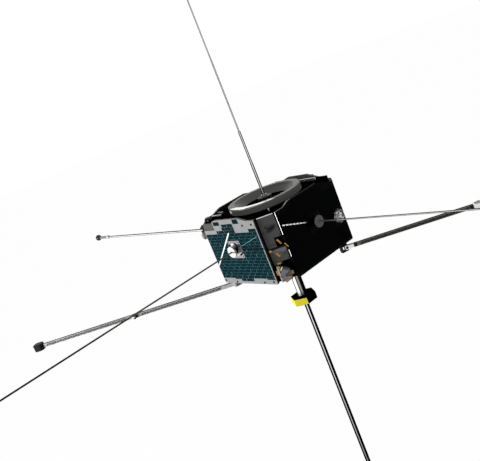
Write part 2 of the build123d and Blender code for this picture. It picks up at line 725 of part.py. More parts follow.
# Elbow: two lugs on the inner block, a tongue on the outer one, and a pin beside the boom
elbow_pin_place = line_plane(LEFT, ELBOW_REACH, ELBOW_SIDE)
block_side = ELBOW_SIZE / 2 - ELBOW_SIDE
with BuildPart() as elbow_inner:
    with BuildSketch(elbow_pin_place.offset(-ELBOW_SIZE / 2)):
        with Locations((-ELBOW_BLOCK, block_side)):
            Rectangle(ELBOW_BLOCK, ELBOW_SIZE, align=(Align.MIN, Align.MAX))
    extrude(amount=ELBOW_SIZE)
    lug_height = (ELBOW_SIZE - ELBOW_TONGUE) / 2 - LUG_GAP
    for lug_floor in (-ELBOW_SIZE / 2, ELBOW_SIZE / 2 - lug_height):
        with BuildSketch(elbow_pin_place.offset(lug_floor)):
            Circle(ELBOW_LUG_DIA / 2)
            Rectangle(ELBOW_LUG_DIA / 2, -block_side, align=(Align.MAX, Align.MAX))
            Circle(ELBOW_PIN_DIA / 2 + PIN_PLAY, mode=Mode.SUBTRACT)
        extrude(amount=lug_height)
write(elbow_inner.part, "left_boom_elbow_inner")

with BuildPart() as elbow_outer:
    with BuildSketch(elbow_pin_place.offset(-ELBOW_SIZE / 2)):
        with Locations((ELBOW_GAP, block_side)):
            Rectangle(ELBOW_BLOCK, ELBOW_SIZE, align=(Align.MIN, Align.MAX))
    extrude(amount=ELBOW_SIZE)
    with BuildSketch(elbow_pin_place.offset(-ELBOW_TONGUE / 2)):
        Circle(ELBOW_LUG_DIA / 2)
        with Locations((ELBOW_GAP, 0)):
            Rectangle(ELBOW_LUG_DIA / 2, -block_side, align=(Align.MIN, Align.MAX))
        Circle(ELBOW_PIN_DIA / 2 + PIN_PLAY, mode=Mode.SUBTRACT)
    extrude(amount=ELBOW_TONGUE)
write(elbow_outer.part, "left_boom_elbow_outer")

with BuildPart() as elbow_pin:
    with BuildSketch(elbow_pin_place.offset(-ELBOW_SIZE / 2)):
        Circle(ELBOW_PIN_DIA / 2)
    extrude(amount=ELBOW_SIZE)
    for head_floor in (-ELBOW_SIZE / 2 - ELBOW_PIN_HEAD, ELBOW_SIZE / 2):
        with BuildSketch(elbow_pin_place.offset(head_floor)):
            Circle(ELBOW_LUG_DIA / 2)
        extrude(amount=ELBOW_PIN_HEAD)
write(elbow_pin.part, "left_boom_elbow_pin")

# Field sensor on the left boom's end: a black box with cut corners on a short neck
sensor_place = line_plane(LEFT, LEFT_LATTICE_END)
with BuildPart() as sensor:
    with BuildSketch(
        Plane(sensor_place.origin, x_dir=sensor_place.y_dir, z_dir=sensor_place.x_dir)
    ):
        Circle(SENSOR_NECK_DIA / 2)
    extrude(amount=SENSOR_NECK)
    with BuildSketch(sensor_place.offset(-SENSOR_HEIGHT / 2)):
        with Locations((SENSOR_NECK, 0)):
            Rectangle(SENSOR_LENGTH, SENSOR_WIDTH, align=(Align.MIN, Align.CENTER))
        chamfer(vertices(), SENSOR_CUT)
    extrude(amount=SENSOR_HEIGHT)
    chamfer(sensor.faces().sort_by(Axis.Z)[-1].edges(), SENSOR_BEVEL)
write(sensor.part, "left_boom_sensor")

# Drum sensor in a fork on the right boom's end
fork_place = line_plane(RIGHT, RIGHT_LATTICE_END)
with BuildPart() as fork:
    with BuildSketch(fork_place.offset(-FORK_WIDTH / 2)):
        with BuildLine():
            Polyline(
                (0, -FORK_OPENING / 2 - FORK_PRONG),
                (FORK_LENGTH, -FORK_OPENING / 2 - FORK_PRONG),
                (FORK_LENGTH, -FORK_OPENING / 2),
                (FORK_BASE, -FORK_OPENING / 2),
                (FORK_BASE, FORK_OPENING / 2),
                (FORK_LENGTH, FORK_OPENING / 2),
                (FORK_LENGTH, FORK_OPENING / 2 + FORK_PRONG),
                (0, FORK_OPENING / 2 + FORK_PRONG),
                close=True,
            )
        make_face()
    extrude(amount=FORK_WIDTH)
write(fork.part, "right_boom_fork")

DRUM_REACH = FORK_BASE + FORK_OPENING / 2
with BuildPart() as drum:
    with Locations(fork_place):
        with Locations((DRUM_REACH, 0)):
            Cylinder(DRUM_DIA / 2, DRUM_LENGTH, rotation=(90, 0, 0))
            Cylinder(DRUM_PIVOT_DIA / 2, FORK_OPENING, rotation=(90, 0, 0))
write(drum.part, "right_boom_sensor")
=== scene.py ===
from math import cos, degrees, pi, radians, sin

import bpy
from mathutils import Matrix, Vector


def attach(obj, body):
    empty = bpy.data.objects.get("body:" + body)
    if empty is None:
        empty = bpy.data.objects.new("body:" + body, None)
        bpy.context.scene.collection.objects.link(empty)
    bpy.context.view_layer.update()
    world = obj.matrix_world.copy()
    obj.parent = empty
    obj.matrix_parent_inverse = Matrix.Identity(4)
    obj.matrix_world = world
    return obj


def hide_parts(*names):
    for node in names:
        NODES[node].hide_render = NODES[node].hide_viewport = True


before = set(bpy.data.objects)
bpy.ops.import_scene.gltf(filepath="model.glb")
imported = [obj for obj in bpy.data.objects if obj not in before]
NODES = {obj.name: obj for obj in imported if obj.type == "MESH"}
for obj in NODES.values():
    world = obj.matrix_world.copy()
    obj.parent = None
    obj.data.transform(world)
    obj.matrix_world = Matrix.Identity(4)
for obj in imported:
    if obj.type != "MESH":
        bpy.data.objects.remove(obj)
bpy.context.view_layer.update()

MM = 0.001                 # the frame and the shaders' positions are in metres

# Decks and the block of tanks and electronics between them. The decks are honeycomb
# boards under matt black thermal paint, screwed to the corner closeouts.
GRIT_SHARE = 6             # specks of grit to one grain of a finish
WEAR = 0.06                # how far roughness drifts either way
RELIEF = 0.2               # height of the grit, in millimetres


def linear(hex_colour):
    """An sRGB hex colour as linear RGBA."""
    parts = [int(hex_colour[i:i + 2], 16) / 255 for i in (1, 3, 5)]
    return [c / 12.92 if c <= 0.04045 else ((c + 0.055) / 1.055) ** 2.4 for c in parts] + [1.0]


def node(material, kind, inputs=None, **settings):
    """Adds a shader node. An input is a value, a hex colour, a socket or a node to link from."""
    made = material.node_tree.nodes.new("ShaderNode" + kind)
    for name, value in settings.items():
        setattr(made, name, value)
    for name, value in (inputs or {}).items():
        if isinstance(value, bpy.types.Node):
            value = next(output for output in value.outputs if output.enabled)
        if isinstance(value, bpy.types.NodeSocket):
            material.node_tree.links.new(value, made.inputs[name])
        else:
            made.inputs[name].default_value = linear(value) if isinstance(value, str) else value
    return made


def clear_tree(owner):
    """Empties the node tree of a material or a world."""
    owner.use_nodes = True
    owner.node_tree.nodes.clear()


def new_material(name):
    """A material with an empty tree, and the coordinates that it reads."""
    material = bpy.data.materials.new(name)
    clear_tree(material)
    return material, node(material, "TexCoord").outputs


def surface(material, place, colour, rough, grain_mm, bump=0.1, metallic=0.0, specular=0.3):
    """Ends a material: a colour over a fine grain that breaks up shine and relief."""
    grit = node(material, "TexNoise", {
        "Vector": place["Object"], "Scale": GRIT_SHARE / (grain_mm * MM), "Detail": 2.0})
    wear = node(material, "MapRange", {
        "Value": grit, "To Min": rough - WEAR, "To Max": rough + WEAR})
    relief = node(material, "Bump", {
        "Height": grit, "Strength": bump, "Distance": RELIEF * MM})
    shader = node(material, "BsdfPrincipled", {
        "Base Color": colour, "Roughness": wear, "Normal": relief, "Metallic": metallic,
        "Specular IOR Level": specular})
    node(material, "OutputMaterial", {"Surface": shader})
    return material


def mottle(material, place, low, high, grain_mm):
    """A soft drift between two colours over a grain of the given size."""
    cloud = node(material, "TexNoise", {
        "Vector": place["Object"], "Scale": 1 / (grain_mm * MM), "Detail": 4.0})
    return node(material, "Mix", {"Factor": cloud, 6: low, 7: high}, data_type="RGBA")


def paint(name, low, high, grain_mm, rough, **finish):
    """A plain coat: mottled colour over a grain."""
    material, place = new_material(name)
    colour = mottle(material, place, low, high, grain_mm)
    return surface(material, place, colour, rough, grain_mm, **finish)


def coat(material, *names):
    """Gives CAD nodes a material."""
    for name in names:
        NODES[name].data.materials.clear()
        NODES[name].data.materials.append(material)


# Thermal paint drinks the light: almost no shine, and a dry, faintly cloudy black.
black_paint = paint("matt_black_thermal_paint", "#060505", "#0d0c0c", 30, 0.75, specular=0.0)
coat(black_paint, "top_deck", "bottom_deck", "equipment_block", "corner_closeouts")

# Separation ring: a turned aluminium ring, chromated dull grey and bolted to the top deck. The
# lathe leaves fine circles; a painted highlight of the key light lies along the front stretch of
# the mating face.
KEY_ANGLE = -118.0         # where the studio's key light stands, from +X
TO_KEY = (cos(radians(KEY_ANGLE)), sin(radians(KEY_ANGLE)), 0.0)
RING_CUT_MM = 3.0          # real tool marks are finer, and wouldn't show
RING_CUT_DEPTH = 0.35      # how much the tool marks darken the metal
RING_HIGHLIGHT_ANGLE = radians(-70.0)   # middle of the bright stretch
RING_HIGHLIGHT_WAY = (cos(RING_HIGHLIGHT_ANGLE), sin(RING_HIGHLIGHT_ANGLE), 0.0)
RING_HIGHLIGHT_ENDS = (0.72, 0.82)      # cosine from its middle where it fades
RING_EDGE, RING_HIGHLIGHT_WIDE = 0.273, 0.040
RING_FACE_Z = -1 * MM
PANEL_SHADE = -0.017       # the panels throw their shadow on the ring below this height


def from_axis(material, place):
    """The level part of a position, and its distance from the spin axis."""
    level = node(material, "VectorMath", {
        0: place["Object"], 1: (1.0, 1.0, 0.0)}, operation="MULTIPLY")
    return level, node(material, "VectorMath", {0: level}, operation="LENGTH")


# Chromated metal looks dull and slightly warm. Where the key light does not reach it, facing away
# from the key or below the panels' shadow, its colour is painted paler in place of light, and
# paler still on the outer wall; only the painted highlight along the front of the mating face
# mirrors the white surroundings.
ring_metal, ring_place = new_material("chromated_aluminium")
ring_axes = node(ring_metal, "SeparateXYZ", {"Vector": ring_place["Object"]}).outputs
ring_level, ring_out = from_axis(ring_metal, ring_place)
ring_turn = node(ring_metal, "CombineXYZ", {"X": ring_out, "Y": ring_axes["Z"]})
ring_marks = node(ring_metal, "TexNoise", {
    "Vector": ring_turn, "Scale": 1 / (RING_CUT_MM * MM), "Detail": 2.0})
ring_keyward = node(ring_metal, "VectorMath", {
    0: ring_place["Normal"], 1: TO_KEY}, operation="DOT_PRODUCT")
ring_lit = node(ring_metal, "MapRange", {
    "Value": ring_keyward, "From Min": 0.0, "From Max": 0.9})
ring_high = node(ring_metal, "Math", {
    0: ring_axes["Z"], 1: PANEL_SHADE}, operation="GREATER_THAN")
ring_glow = node(ring_metal, "Math", {0: ring_lit, 1: ring_high}, operation="MULTIPLY")
ring_way = node(ring_metal, "VectorMath", {0: ring_level}, operation="NORMALIZE")
ring_facing = node(ring_metal, "VectorMath", {
    0: ring_place["Normal"], 1: ring_way}, operation="DOT_PRODUCT")
ring_wall = node(ring_metal, "Math", {0: ring_facing, 1: 0.5}, operation="GREATER_THAN")
# Painted light: the paler colour where the key does not reach, palest on the outer wall.
ring_unlit_paler = node(ring_metal, "Mix", {
    "Factor": ring_wall, 6: "#9c9c96", 7: "#c8c8c2"}, data_type="RGBA")
ring_light_evened = node(ring_metal, "Mix", {
    "Factor": ring_glow, 6: ring_unlit_paler, 7: "#5c5c58"}, data_type="RGBA")
ring_cut = node(ring_metal, "Math", {0: ring_marks, 1: RING_CUT_DEPTH}, operation="MULTIPLY")
ring_tone = node(ring_metal, "Mix", {
    "Factor": ring_cut, 6: ring_light_evened, 7: "#5a5a56"}, data_type="RGBA")
# Painted highlight: a white, mirror-like band on the front stretch of the mating face.
ring_front = node(ring_metal, "VectorMath", {
    0: ring_way, 1: RING_HIGHLIGHT_WAY}, operation="DOT_PRODUCT")
ring_highlight_fade = node(ring_metal, "MapRange", {
    "Value": ring_front, "From Min": RING_HIGHLIGHT_ENDS[0], "From Max": RING_HIGHLIGHT_ENDS[1]})
ring_wide = node(ring_metal, "Math", {
    0: ring_highlight_fade, 1: RING_HIGHLIGHT_WIDE}, operation="MULTIPLY")
ring_reach = node(ring_metal, "Math", {0: ring_out, 1: ring_wide}, operation="ADD")
ring_outer = node(ring_metal, "Math", {0: ring_reach, 1: RING_EDGE}, operation="GREATER_THAN")
ring_face = node(ring_metal, "Math", {
    0: ring_axes["Z"], 1: RING_FACE_Z}, operation="GREATER_THAN")
ring_painted_highlight = node(ring_metal, "Math", {0: ring_outer, 1: ring_face}, operation="MULTIPLY")
ring_colour = node(ring_metal, "Mix", {
    "Factor": ring_painted_highlight, 6: ring_tone, 7: "#fcfcfa"}, data_type="RGBA")
surface(ring_metal, ring_place, ring_colour, 0.3, 6, metallic=ring_painted_highlight, specular=0.12)
coat(ring_metal, "separation_ring")

# Solar panels: honeycomb boards with a pale skin, screwed to the decks. The skin shows where no
# cells lie, blue-green glue between the cells; edges that face away from the key light are painted
# dark as shade.
GLUE_LOW, GLUE_HIGH, GLUE_SIDE = -0.466, -0.122, 0.284   # reach of the glue on each board
# Edges that face this way are painted dark as shade.
SHADE_PAINTED_WAY = (1.0, 0.2, 0.0)   # edges facing this way are sealed


def two_way(material, first, second, operation):
    """The larger or smaller of two distances, whichever way each of them goes."""
    sizes = [node(material, "Math", {0: way}, operation="ABSOLUTE") for way in (first, second)]
    return node(material, "Math", {0: sizes[0], 1: sizes[1]}, operation=operation)


# Bare skin is a satin, lightly clouded grey, so it reads as painted sheet beside the glass.
bare_board, board_place = new_material("pale_panel_skin")
board_skin = mottle(bare_board, board_place, "#8a8c8c", "#a2a4a4", 45)
board_axes = node(bare_board, "SeparateXYZ", {"Vector": board_place["Object"]}).outputs
board_side = two_way(bare_board, board_axes["X"], board_axes["Y"], "MINIMUM")
board_inner = node(bare_board, "Math", {0: board_side, 1: GLUE_SIDE}, operation="LESS_THAN")
board_between = node(bare_board, "Math", {
    0: board_axes["Z"], 1: (GLUE_LOW + GLUE_HIGH) / 2, 2: (GLUE_HIGH - GLUE_LOW) / 2},
    operation="COMPARE")
board_glue = node(bare_board, "Math", {0: board_inner, 1: board_between}, operation="MULTIPLY")
board_coat = node(bare_board, "Mix", {
    "Factor": board_glue, 6: board_skin, 7: "#649fa3"}, data_type="RGBA")
# Painted shade: faces turned away from the key light are near black.
board_turned = node(bare_board, "VectorMath", {
    0: board_place["Normal"], 1: SHADE_PAINTED_WAY}, operation="DOT_PRODUCT")
board_painted_shade = node(bare_board, "Math", {0: board_turned, 1: 0.5}, operation="GREATER_THAN")
board_colour = node(bare_board, "Mix", {
    "Factor": board_painted_shade, 6: board_coat, 7: "#0a0a0b"}, data_type="RGBA")
surface(bare_board, board_place, board_colour, 0.5, 45, specular=0.15)
coat(bare_board, "solar_panel_front", "solar_panel_left", "solar_panel_back")

# The near edge's bright strip is painted light, and the break in it is painted shadow.
LIT_EDGE_FOOT, LIT_EDGE_IN = -0.360, 0.3965   # lower end and inner side of the near edge's tape
EDGE_SHADOW_LOW, EDGE_SHADOW_HIGH = -0.307, -0.200
SLOPE_NEAR = -0.12         # the near slope of the board's top begins here

# This board's skin is painted black as shade; its near edge is painted as a bright lit strip,
# broken by a painted shadow, and the near slope of its top is painted half pale as light.
dark_board, dark_place = new_material("dark_panel_skin")
dark_axes = node(dark_board, "SeparateXYZ", {"Vector": dark_place["Object"]}).outputs
dark_normal = node(dark_board, "SeparateXYZ", {"Vector": dark_place["Normal"]}).outputs
dark_near = node(dark_board, "Math", {0: dark_normal["Y"], 1: -0.5}, operation="LESS_THAN")
dark_high = node(dark_board, "Math", {
    0: dark_axes["Z"], 1: LIT_EDGE_FOOT}, operation="GREATER_THAN")
dark_edge_shadow = node(dark_board, "Math", {
    0: dark_axes["Z"], 1: (EDGE_SHADOW_LOW + EDGE_SHADOW_HIGH) / 2,
    2: (EDGE_SHADOW_HIGH - EDGE_SHADOW_LOW) / 2}, operation="COMPARE")
dark_outer = node(dark_board, "Math", {
    0: dark_axes["X"], 1: LIT_EDGE_IN}, operation="GREATER_THAN")
dark_edge = node(dark_board, "Math", {0: dark_near, 1: dark_outer}, operation="MULTIPLY")
dark_run = node(dark_board, "Math", {0: dark_high, 1: dark_edge_shadow}, operation="SUBTRACT")
dark_lit_edge = node(dark_board, "Math", {0: dark_edge, 1: dark_run}, operation="MULTIPLY")
# Painted light: the near slope of the top is half pale.
dark_up = node(dark_board, "Math", {0: dark_normal["Z"], 1: 0.3}, operation="GREATER_THAN")
dark_slope = node(dark_board, "Math", {
    0: dark_axes["Y"], 1: SLOPE_NEAR}, operation="LESS_THAN")
dark_top = node(dark_board, "Math", {0: dark_up, 1: dark_slope}, operation="MULTIPLY")
dark_half = node(dark_board, "Math", {0: dark_top, 1: 0.5}, operation="MULTIPLY")
dark_painted_light = node(dark_board, "Math", {0: dark_lit_edge, 1: dark_half}, operation="MAXIMUM")
dark_colour = node(dark_board, "Mix", {
    "Factor": dark_painted_light, 6: "#040404", 7: "#f4f4f2"}, data_type="RGBA")
surface(dark_board, dark_place, dark_colour, 0.5, 45, metallic=dark_lit_edge, specular=0.02)
coat(dark_board, "solar_panel_right")

# Solar cells: thin glass-covered tiles glued in staggered rows with narrow joints, cut to
# fit at the edges and left out where the board is bare. Each has eased edges.
CELL_ROW = 23.3
CELL_LENGTH = 66.0
ROW_JOINT, END_JOINT = 1.0, 2.0
END_GAPS = (1.2, 3.6, 1.8, 2.4, 4.8, 1.4, 3.0)   # laid by hand, so no two joints are alike
CELL_PROUD = 0.8
CELL_LEAST = 9.0           # a shorter remnant is left out
CELL_LONGEST = 1.2 * CELL_LENGTH             # a run up to this long is one cell
CELL_TRIMMED = 0.1         # a cell this much lower than its row counts as trimmed
CELL_ROWS = 20
CELLS_ACROSS = 12          # more than a row can hold
CELL_FOOT = -494.0         # lower edge of the first row
PANEL_FACE = 400.0
ROW_SHIFT = (0.0, 0.55, 0.2, 0.75, 0.4)      # of a cell's length, row after row
CELL_LEFT, CELL_RIGHT = -289.0, 284.0        # a pale strip stays at the right edge
PAST_EDGE = 300.0          # beyond either side of a board
SHOULDER, SLOPE_FOOT = -43.0, 132.0          # the board narrows above its shoulders
UNIT_HALF, UNIT_Z = 66.0, -243.0             # board kept clear round each boom unit
BARE_FRONT = (
    # left, right, bottom, top edge of a place without cells, in millimetres
    (-300, 300, -51, -10),
    (-300, -70, -75, -51), (57, 300, -75, -51), (-300, -80, -98, -75), (59, 300, -98, -75),
    (-300, -152, -121, -98), (59, 206, -121, -98), (-300, -84, -500, -471),
    (56, 300, -500, -471),
)
FRONT_EXTRA = (
    # odd cells that fill single places on the front board: left, right, bottom, top
    (-154, -86, -58, -30), (70, 131, -55, -21), (-152, -85, -478, -471),
    (203, 284, -479, -471),
)
BARE_RIGHT = (
    (-300, -190, -75, -10), (160, 300, -98, -10), (-300, -230, -500, -471),
    (180, 300, -366, -254),
)
BARE_PLAIN = (
    (-300, -200, -75, -10), (200, 300, -98, -10), (-85, 68, -51, -10),
    (-300, -120, -500, -471), (90, 300, -500, -471),
)


def glass_cell(name, low, high, specular):
    """Cell glass: dark and glossy, with each few cells a shade apart."""
    material, place = new_material(name)
    patch = mottle(material, place, low, high, CELL_LENGTH)
    shader = node(material, "BsdfPrincipled", {
        "Base Color": patch, "Roughness": 0.2, "IOR": 1.5, "Specular IOR Level": specular})
    node(material, "OutputMaterial", {"Surface": shader})
    return material


def clear_runs(bottom, bare):
    """Stretches of a row that carry cells: left, right, bottom and top edges."""
    top = bottom + CELL_ROW
    z = (bottom + top) / 2
    runs = [(CELL_LEFT, CELL_RIGHT)]
    gaps = [(left, right) for left, right, low, high in bare if low < z < high]
    if top > UNIT_Z - UNIT_HALF and bottom < UNIT_Z + UNIT_HALF:
        gaps.append((-UNIT_HALF, UNIT_HALF))
    if top > SHOULDER:
        gaps += [(-PAST_EDGE, -SLOPE_FOOT), (SLOPE_FOOT, PAST_EDGE)]
    for left, right in gaps:
        cut = [((a, min(b, left)), (max(a, right), b)) for a, b in runs]
        runs = [run for pair in cut for run in pair if run[1] - run[0] > CELL_LEAST]
    whole = [(left, right, bottom, top) for left, right in runs]
    beside = ((max(bottom, UNIT_Z + UNIT_HALF), top), (bottom, min(top, UNIT_Z - UNIT_HALF)))
    trimmed = [(-UNIT_HALF, UNIT_HALF, low, high) for low, high in beside
               if CELL_LEAST / 2 < high - low < CELL_ROW - CELL_TRIMMED]
    return whole + trimmed


def side_place(angle, u, out, z, turn=0.0):
    """Place on the side facing an angle: right, out and up in mm, for a piece facing -Y."""
    return (Matrix.Rotation(radians(angle + 90), 4, "Z")
            @ Matrix.Translation((u * MM, -out * MM, z * MM))
            @ Matrix.Rotation(radians(-turn), 4, "Y"))


def cell_place(angle, left, right, bottom, top, end_gap=0.0, row_gap=0.0):
    """Place and stretch of a cell that fills a field, less its joints."""
    wide = (right - left - end_gap) / (CELL_LENGTH - END_JOINT)
    tall = (top - bottom - row_gap) / (CELL_ROW - ROW_JOINT)
    middle = side_place(
        angle, (left + right) / 2, PANEL_FACE + CELL_PROUD / 2, (bottom + top) / 2)
    return middle @ Matrix.Diagonal((wide, 1.0, tall, 1.0))


def copies(template, places, name, last=True):
    """Joins a copy at each place as one piece; after the last use the template goes."""
    made = []
    for place in places:
        copy = template.copy()
        copy.data = template.data.copy()
        copy.data.transform(place)
        bpy.context.collection.objects.link(copy)
        made.append(copy)
    bpy.ops.object.select_all(action="DESELECT")
    for copy in made:
        copy.select_set(True)
    bpy.context.view_layer.objects.active = made[0]
    if len(made) > 1:
        bpy.ops.object.join()
    made[0].name = name
    if last:
        bpy.data.objects.remove(template)
    return made[0]


def fit(piece, material, body="bus"):
    """Gives a new piece its material and the body that carries it."""
    piece.data.materials.clear()
    piece.data.materials.append(material)
    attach(piece, body)


def block(width, depth, height, bevel):
    """A bevelled block at the origin, sizes in mm, to be copied into place."""
    bpy.ops.object.select_all(action="DESELECT")
    bpy.ops.mesh.primitive_cube_add(size=1.0)
    made = bpy.context.object
    made.scale = (width * MM, depth * MM, height * MM)
    bpy.ops.object.transform_apply(location=False, rotation=False, scale=True)
    eased = made.modifiers.new("eased", "BEVEL")
    eased.width = bevel * MM
    eased.segments = 2
    bpy.ops.object.modifier_apply(modifier="eased")
    return made


# Cover glass over blue cells is deep teal; on the right board it is painted near black as shade.
teal_glass = glass_cell("teal_cell_glass", "#00171f", "#012f37", 0.02)
black_glass = glass_cell("shaded_cell_glass", "#020303", "#040607", 0.01)
SIDES = (
    # body side, its angle, its bare places, its odd cells and its glass
    ("front", -90, BARE_FRONT, FRONT_EXTRA, teal_glass),
    # The right board's glass is painted near black as shade.
    ("right", 0, BARE_RIGHT, (), black_glass),
    ("back", 90, BARE_PLAIN, (), teal_glass),
    ("left", 180, BARE_PLAIN, (), teal_glass),
)
tile = block(CELL_LENGTH - END_JOINT, CELL_PROUD, CELL_ROW - ROW_JOINT, bevel=0.2)
for side, angle, bare, odd_cells, glass in SIDES:
    places = [cell_place(angle, *field) for field in odd_cells]
    for row in range(CELL_ROWS):
        first = CELL_LEFT - ROW_SHIFT[row % len(ROW_SHIFT)] * CELL_LENGTH
        joints = [first + count * CELL_LENGTH for count in range(CELLS_ACROSS)]
        for left, right, bottom, top in clear_runs(CELL_FOOT + row * CELL_ROW, bare):
            inner = [u for u in joints if left + CELL_LEAST < u < right - CELL_LEAST]
            cuts = [left] + (inner if right - left > CELL_LONGEST else []) + [right]
            for start, end in zip(cuts, cuts[1:]):
                end_gap = END_GAPS[len(places) % len(END_GAPS)]
                places.append(cell_place(angle, start, end, bottom, top, end_gap, ROW_JOINT))
    cells = copies(tile, places, f"solar_cells_{side}", last=False)
    fit(cells, glass)
bpy.data.objects.remove(tile)

# Painted reflections on the glass: thin bright strips drawn as the booms' mirror images in the
# cells, a broad and a fine one in front and a broken one on the right.
REFLECTION_THICK = 0.4
DASH_SHARE = 0.8           # of each step along a broken strip
# Bright film mirrors the white surroundings, and on the panels it paints the booms' reflections;
# the dull one is a faint pale line of painted reflection.
film_and_painted_reflection = paint("bright_film_and_painted_reflection", "#dfe9ea", "#f6f8f8", 20, 0.3, metallic=1.0)
painted_dull_reflection = paint("painted_dull_reflection", "#5f9298", "#7fb0b5", 20, 0.4)
REFLECTION_STRIPS = (
    # side's angle, from (u, z) to (u, z), width, number of dashes, finish
    (-90, (-17, -119), (-288, -371), 10.0, 1, film_and_painted_reflection),
    (-90, (66, -222), (272, -154), 3.0, 1, painted_dull_reflection),
    (0, (-276, -142), (-44, -227), 8.0, 8, film_and_painted_reflection),
)
# Each strip is laid on the glass as a painted reflection.
for number, (angle, start, end, width, dashes, finish) in enumerate(REFLECTION_STRIPS, 1):
    start, end = Vector(start), Vector(end)
    step = (end - start) / dashes
    lean = degrees(step.angle_signed(Vector((1, 0))))
    dash = block(step.length * (DASH_SHARE if dashes > 1 else 1.0), REFLECTION_THICK, width, bevel=0.15)
    middles = [start + step * (count + 0.5) for count in range(dashes)]
    strip = copies(dash, [
        side_place(angle, middle.x, PANEL_FACE + CELL_PROUD + REFLECTION_THICK / 2, middle.y, lean)
        for middle in middles], f"painted_reflection_strip_{number}")
    fit(strip, finish)

# Panel screws: blackened steel socket-head screws that hold each board to the decks, near its
# corners and along its edges. One is modelled and copied.


def button(diameter, height, insets, sink, sides=24):
    """A round button facing -Y at the origin; its face is set in by steps, its middle sunk."""
    bpy.ops.object.select_all(action="DESELECT")
    bpy.ops.mesh.primitive_cylinder_add(
        vertices=sides, radius=diameter / 2 * MM, depth=height * MM, rotation=(pi / 2, 0, 0))
    made = bpy.context.object
    bpy.ops.object.transform_apply(location=False, rotation=True, scale=False)
    bpy.ops.object.mode_set(mode="EDIT")
    bpy.ops.mesh.select_mode(type="FACE")
    bpy.ops.mesh.select_all(action="DESELECT")
    bpy.ops.object.mode_set(mode="OBJECT")
    for face in made.data.polygons:
        face.select = face.normal.y < -0.9
    bpy.ops.object.mode_set(mode="EDIT")
    for thickness, depth in insets:
        bpy.ops.mesh.inset(thickness=thickness * MM, depth=depth * MM)
    bpy.ops.mesh.extrude_region_move(TRANSFORM_OT_translate={"value": (0, sink * MM, 0)})
    bpy.ops.object.mode_set(mode="OBJECT")
    return made


def screw_head(diameter, height):
    """A button in a screw's proportions: an eased rim and a socket half as deep as the head."""
    eased_rim, wall = (0.08 * diameter, 0.12 * height), (0.17 * diameter, 0.0)
    return button(diameter, height, (eased_rim, wall), height / 2)


# Blackened steel shows as small dark dots with next to no shine.
black_steel = paint("black_oxide_steel", "#060606", "#0f0f10", 6, 0.5, specular=0.08)
SCREW_DIA, SCREW_HEIGHT = 14.0, 3.0
FOOT_SPOTS = ((0, -503), (-140, -503), (140, -503))
SCREW_SPOTS = {
    # side: u and z of its screws
    "front": ((-274, -490), (259, -494), (258, -69), (164, -71), (-144, -500), (161, -500)),
    "right": ((-270, -500), (270, -500), (-268, -62), (268, -84)) + FOOT_SPOTS,
    "back": ((-270, -496), (270, -496), (-270, -100), (268, -56)) + FOOT_SPOTS,
    "left": ((-270, -496), (270, -496), (-268, -56), (268, -56)) + FOOT_SPOTS,
}
screw = screw_head(SCREW_DIA, SCREW_HEIGHT)
panel_screws = copies(screw, [
    side_place(angle, u, PANEL_FACE + SCREW_HEIGHT / 2, z)
    for side, angle, *_ in SIDES for u, z in SCREW_SPOTS[side]], "panel_screws")
fit(panel_screws, black_steel)

# Corner plates and covers: sheet aluminium in satin grey paint, screwed over the dark closeouts.
# The near corner's upper plate is the darkest, the lower one is paler along its top, under a
# near-black band of painted shadow.
NEAR, OTHER_CORNERS = -45, (45, 135, 225)    # angles of the corners
ACROSS_NEAR = (0.7071, 0.7071, 0.0)          # level direction across the near corner
# Satin paint looks even and soft, with broad faint highlights.
grey_sheet = paint("dark_grey_sheet", "#5a5a5a", "#666666", 60, 0.5, specular=0.12)
coat(grey_sheet, "corner_plates")

WINDOW_U, WINDOW_Z = 12.0 * MM, -138.0 * MM  # middle of the oval window on the upper plate
WINDOW_WIDE, WINDOW_TALL = 0.046, 0.022      # half sizes
WINDOW_LEAN = 0.35

# Smoked paint is an even dark grey; the window in it is a soft-edged darker oval.
upper_sheet, upper_place = new_material("smoked_grey_sheet")
upper_u = node(upper_sheet, "VectorMath", {
    0: upper_place["Object"], 1: ACROSS_NEAR}, operation="DOT_PRODUCT")
upper_axes = node(upper_sheet, "SeparateXYZ", {"Vector": upper_place["Object"]}).outputs
upper_side = node(upper_sheet, "Math", {0: upper_u, 1: WINDOW_U}, operation="SUBTRACT")
upper_rise = node(upper_sheet, "Math", {0: upper_axes["Z"], 1: WINDOW_Z}, operation="SUBTRACT")
upper_skew = node(upper_sheet, "Math", {0: upper_side, 1: WINDOW_LEAN}, operation="MULTIPLY")
upper_lean = node(upper_sheet, "Math", {0: upper_rise, 1: upper_skew}, operation="SUBTRACT")
upper_oval = node(upper_sheet, "CombineXYZ", {
    "X": node(upper_sheet, "Math", {0: upper_side, 1: 1 / WINDOW_WIDE}, operation="MULTIPLY"),
    "Y": node(upper_sheet, "Math", {0: upper_lean, 1: 1 / WINDOW_TALL}, operation="MULTIPLY")})
upper_far = node(upper_sheet, "VectorMath", {0: upper_oval}, operation="LENGTH")
upper_smudge = node(upper_sheet, "MapRange", {
    "Value": upper_far, "From Min": 0.4, "From Max": 1.15})
upper_grey = mottle(upper_sheet, upper_place, "#5c5c5c", "#676767", 60)
upper_colour = node(upper_sheet, "Mix", {
    "Factor": upper_smudge, 6: "#242424", 7: upper_grey}, data_type="RGBA")
surface(upper_sheet, upper_place, upper_colour, 0.5, 60, specular=0.12)
coat(upper_sheet, "near_corner_upper_plate")

# A near-black band of painted shadow covers the plate above this height.
LOWER_SHADOW_Z = -0.281        # the seal covers the plate above this height
# Slant of each line between the two greys, and where along it one grey fades to the other.
LOWER_RISE, LOWER_RISE_ENDS = (0.7071, 0.7071, 1.0), (-0.335, -0.315)
LOWER_FALL, LOWER_FALL_ENDS = (-0.382, -0.382, 1.0), (-0.340, -0.328)

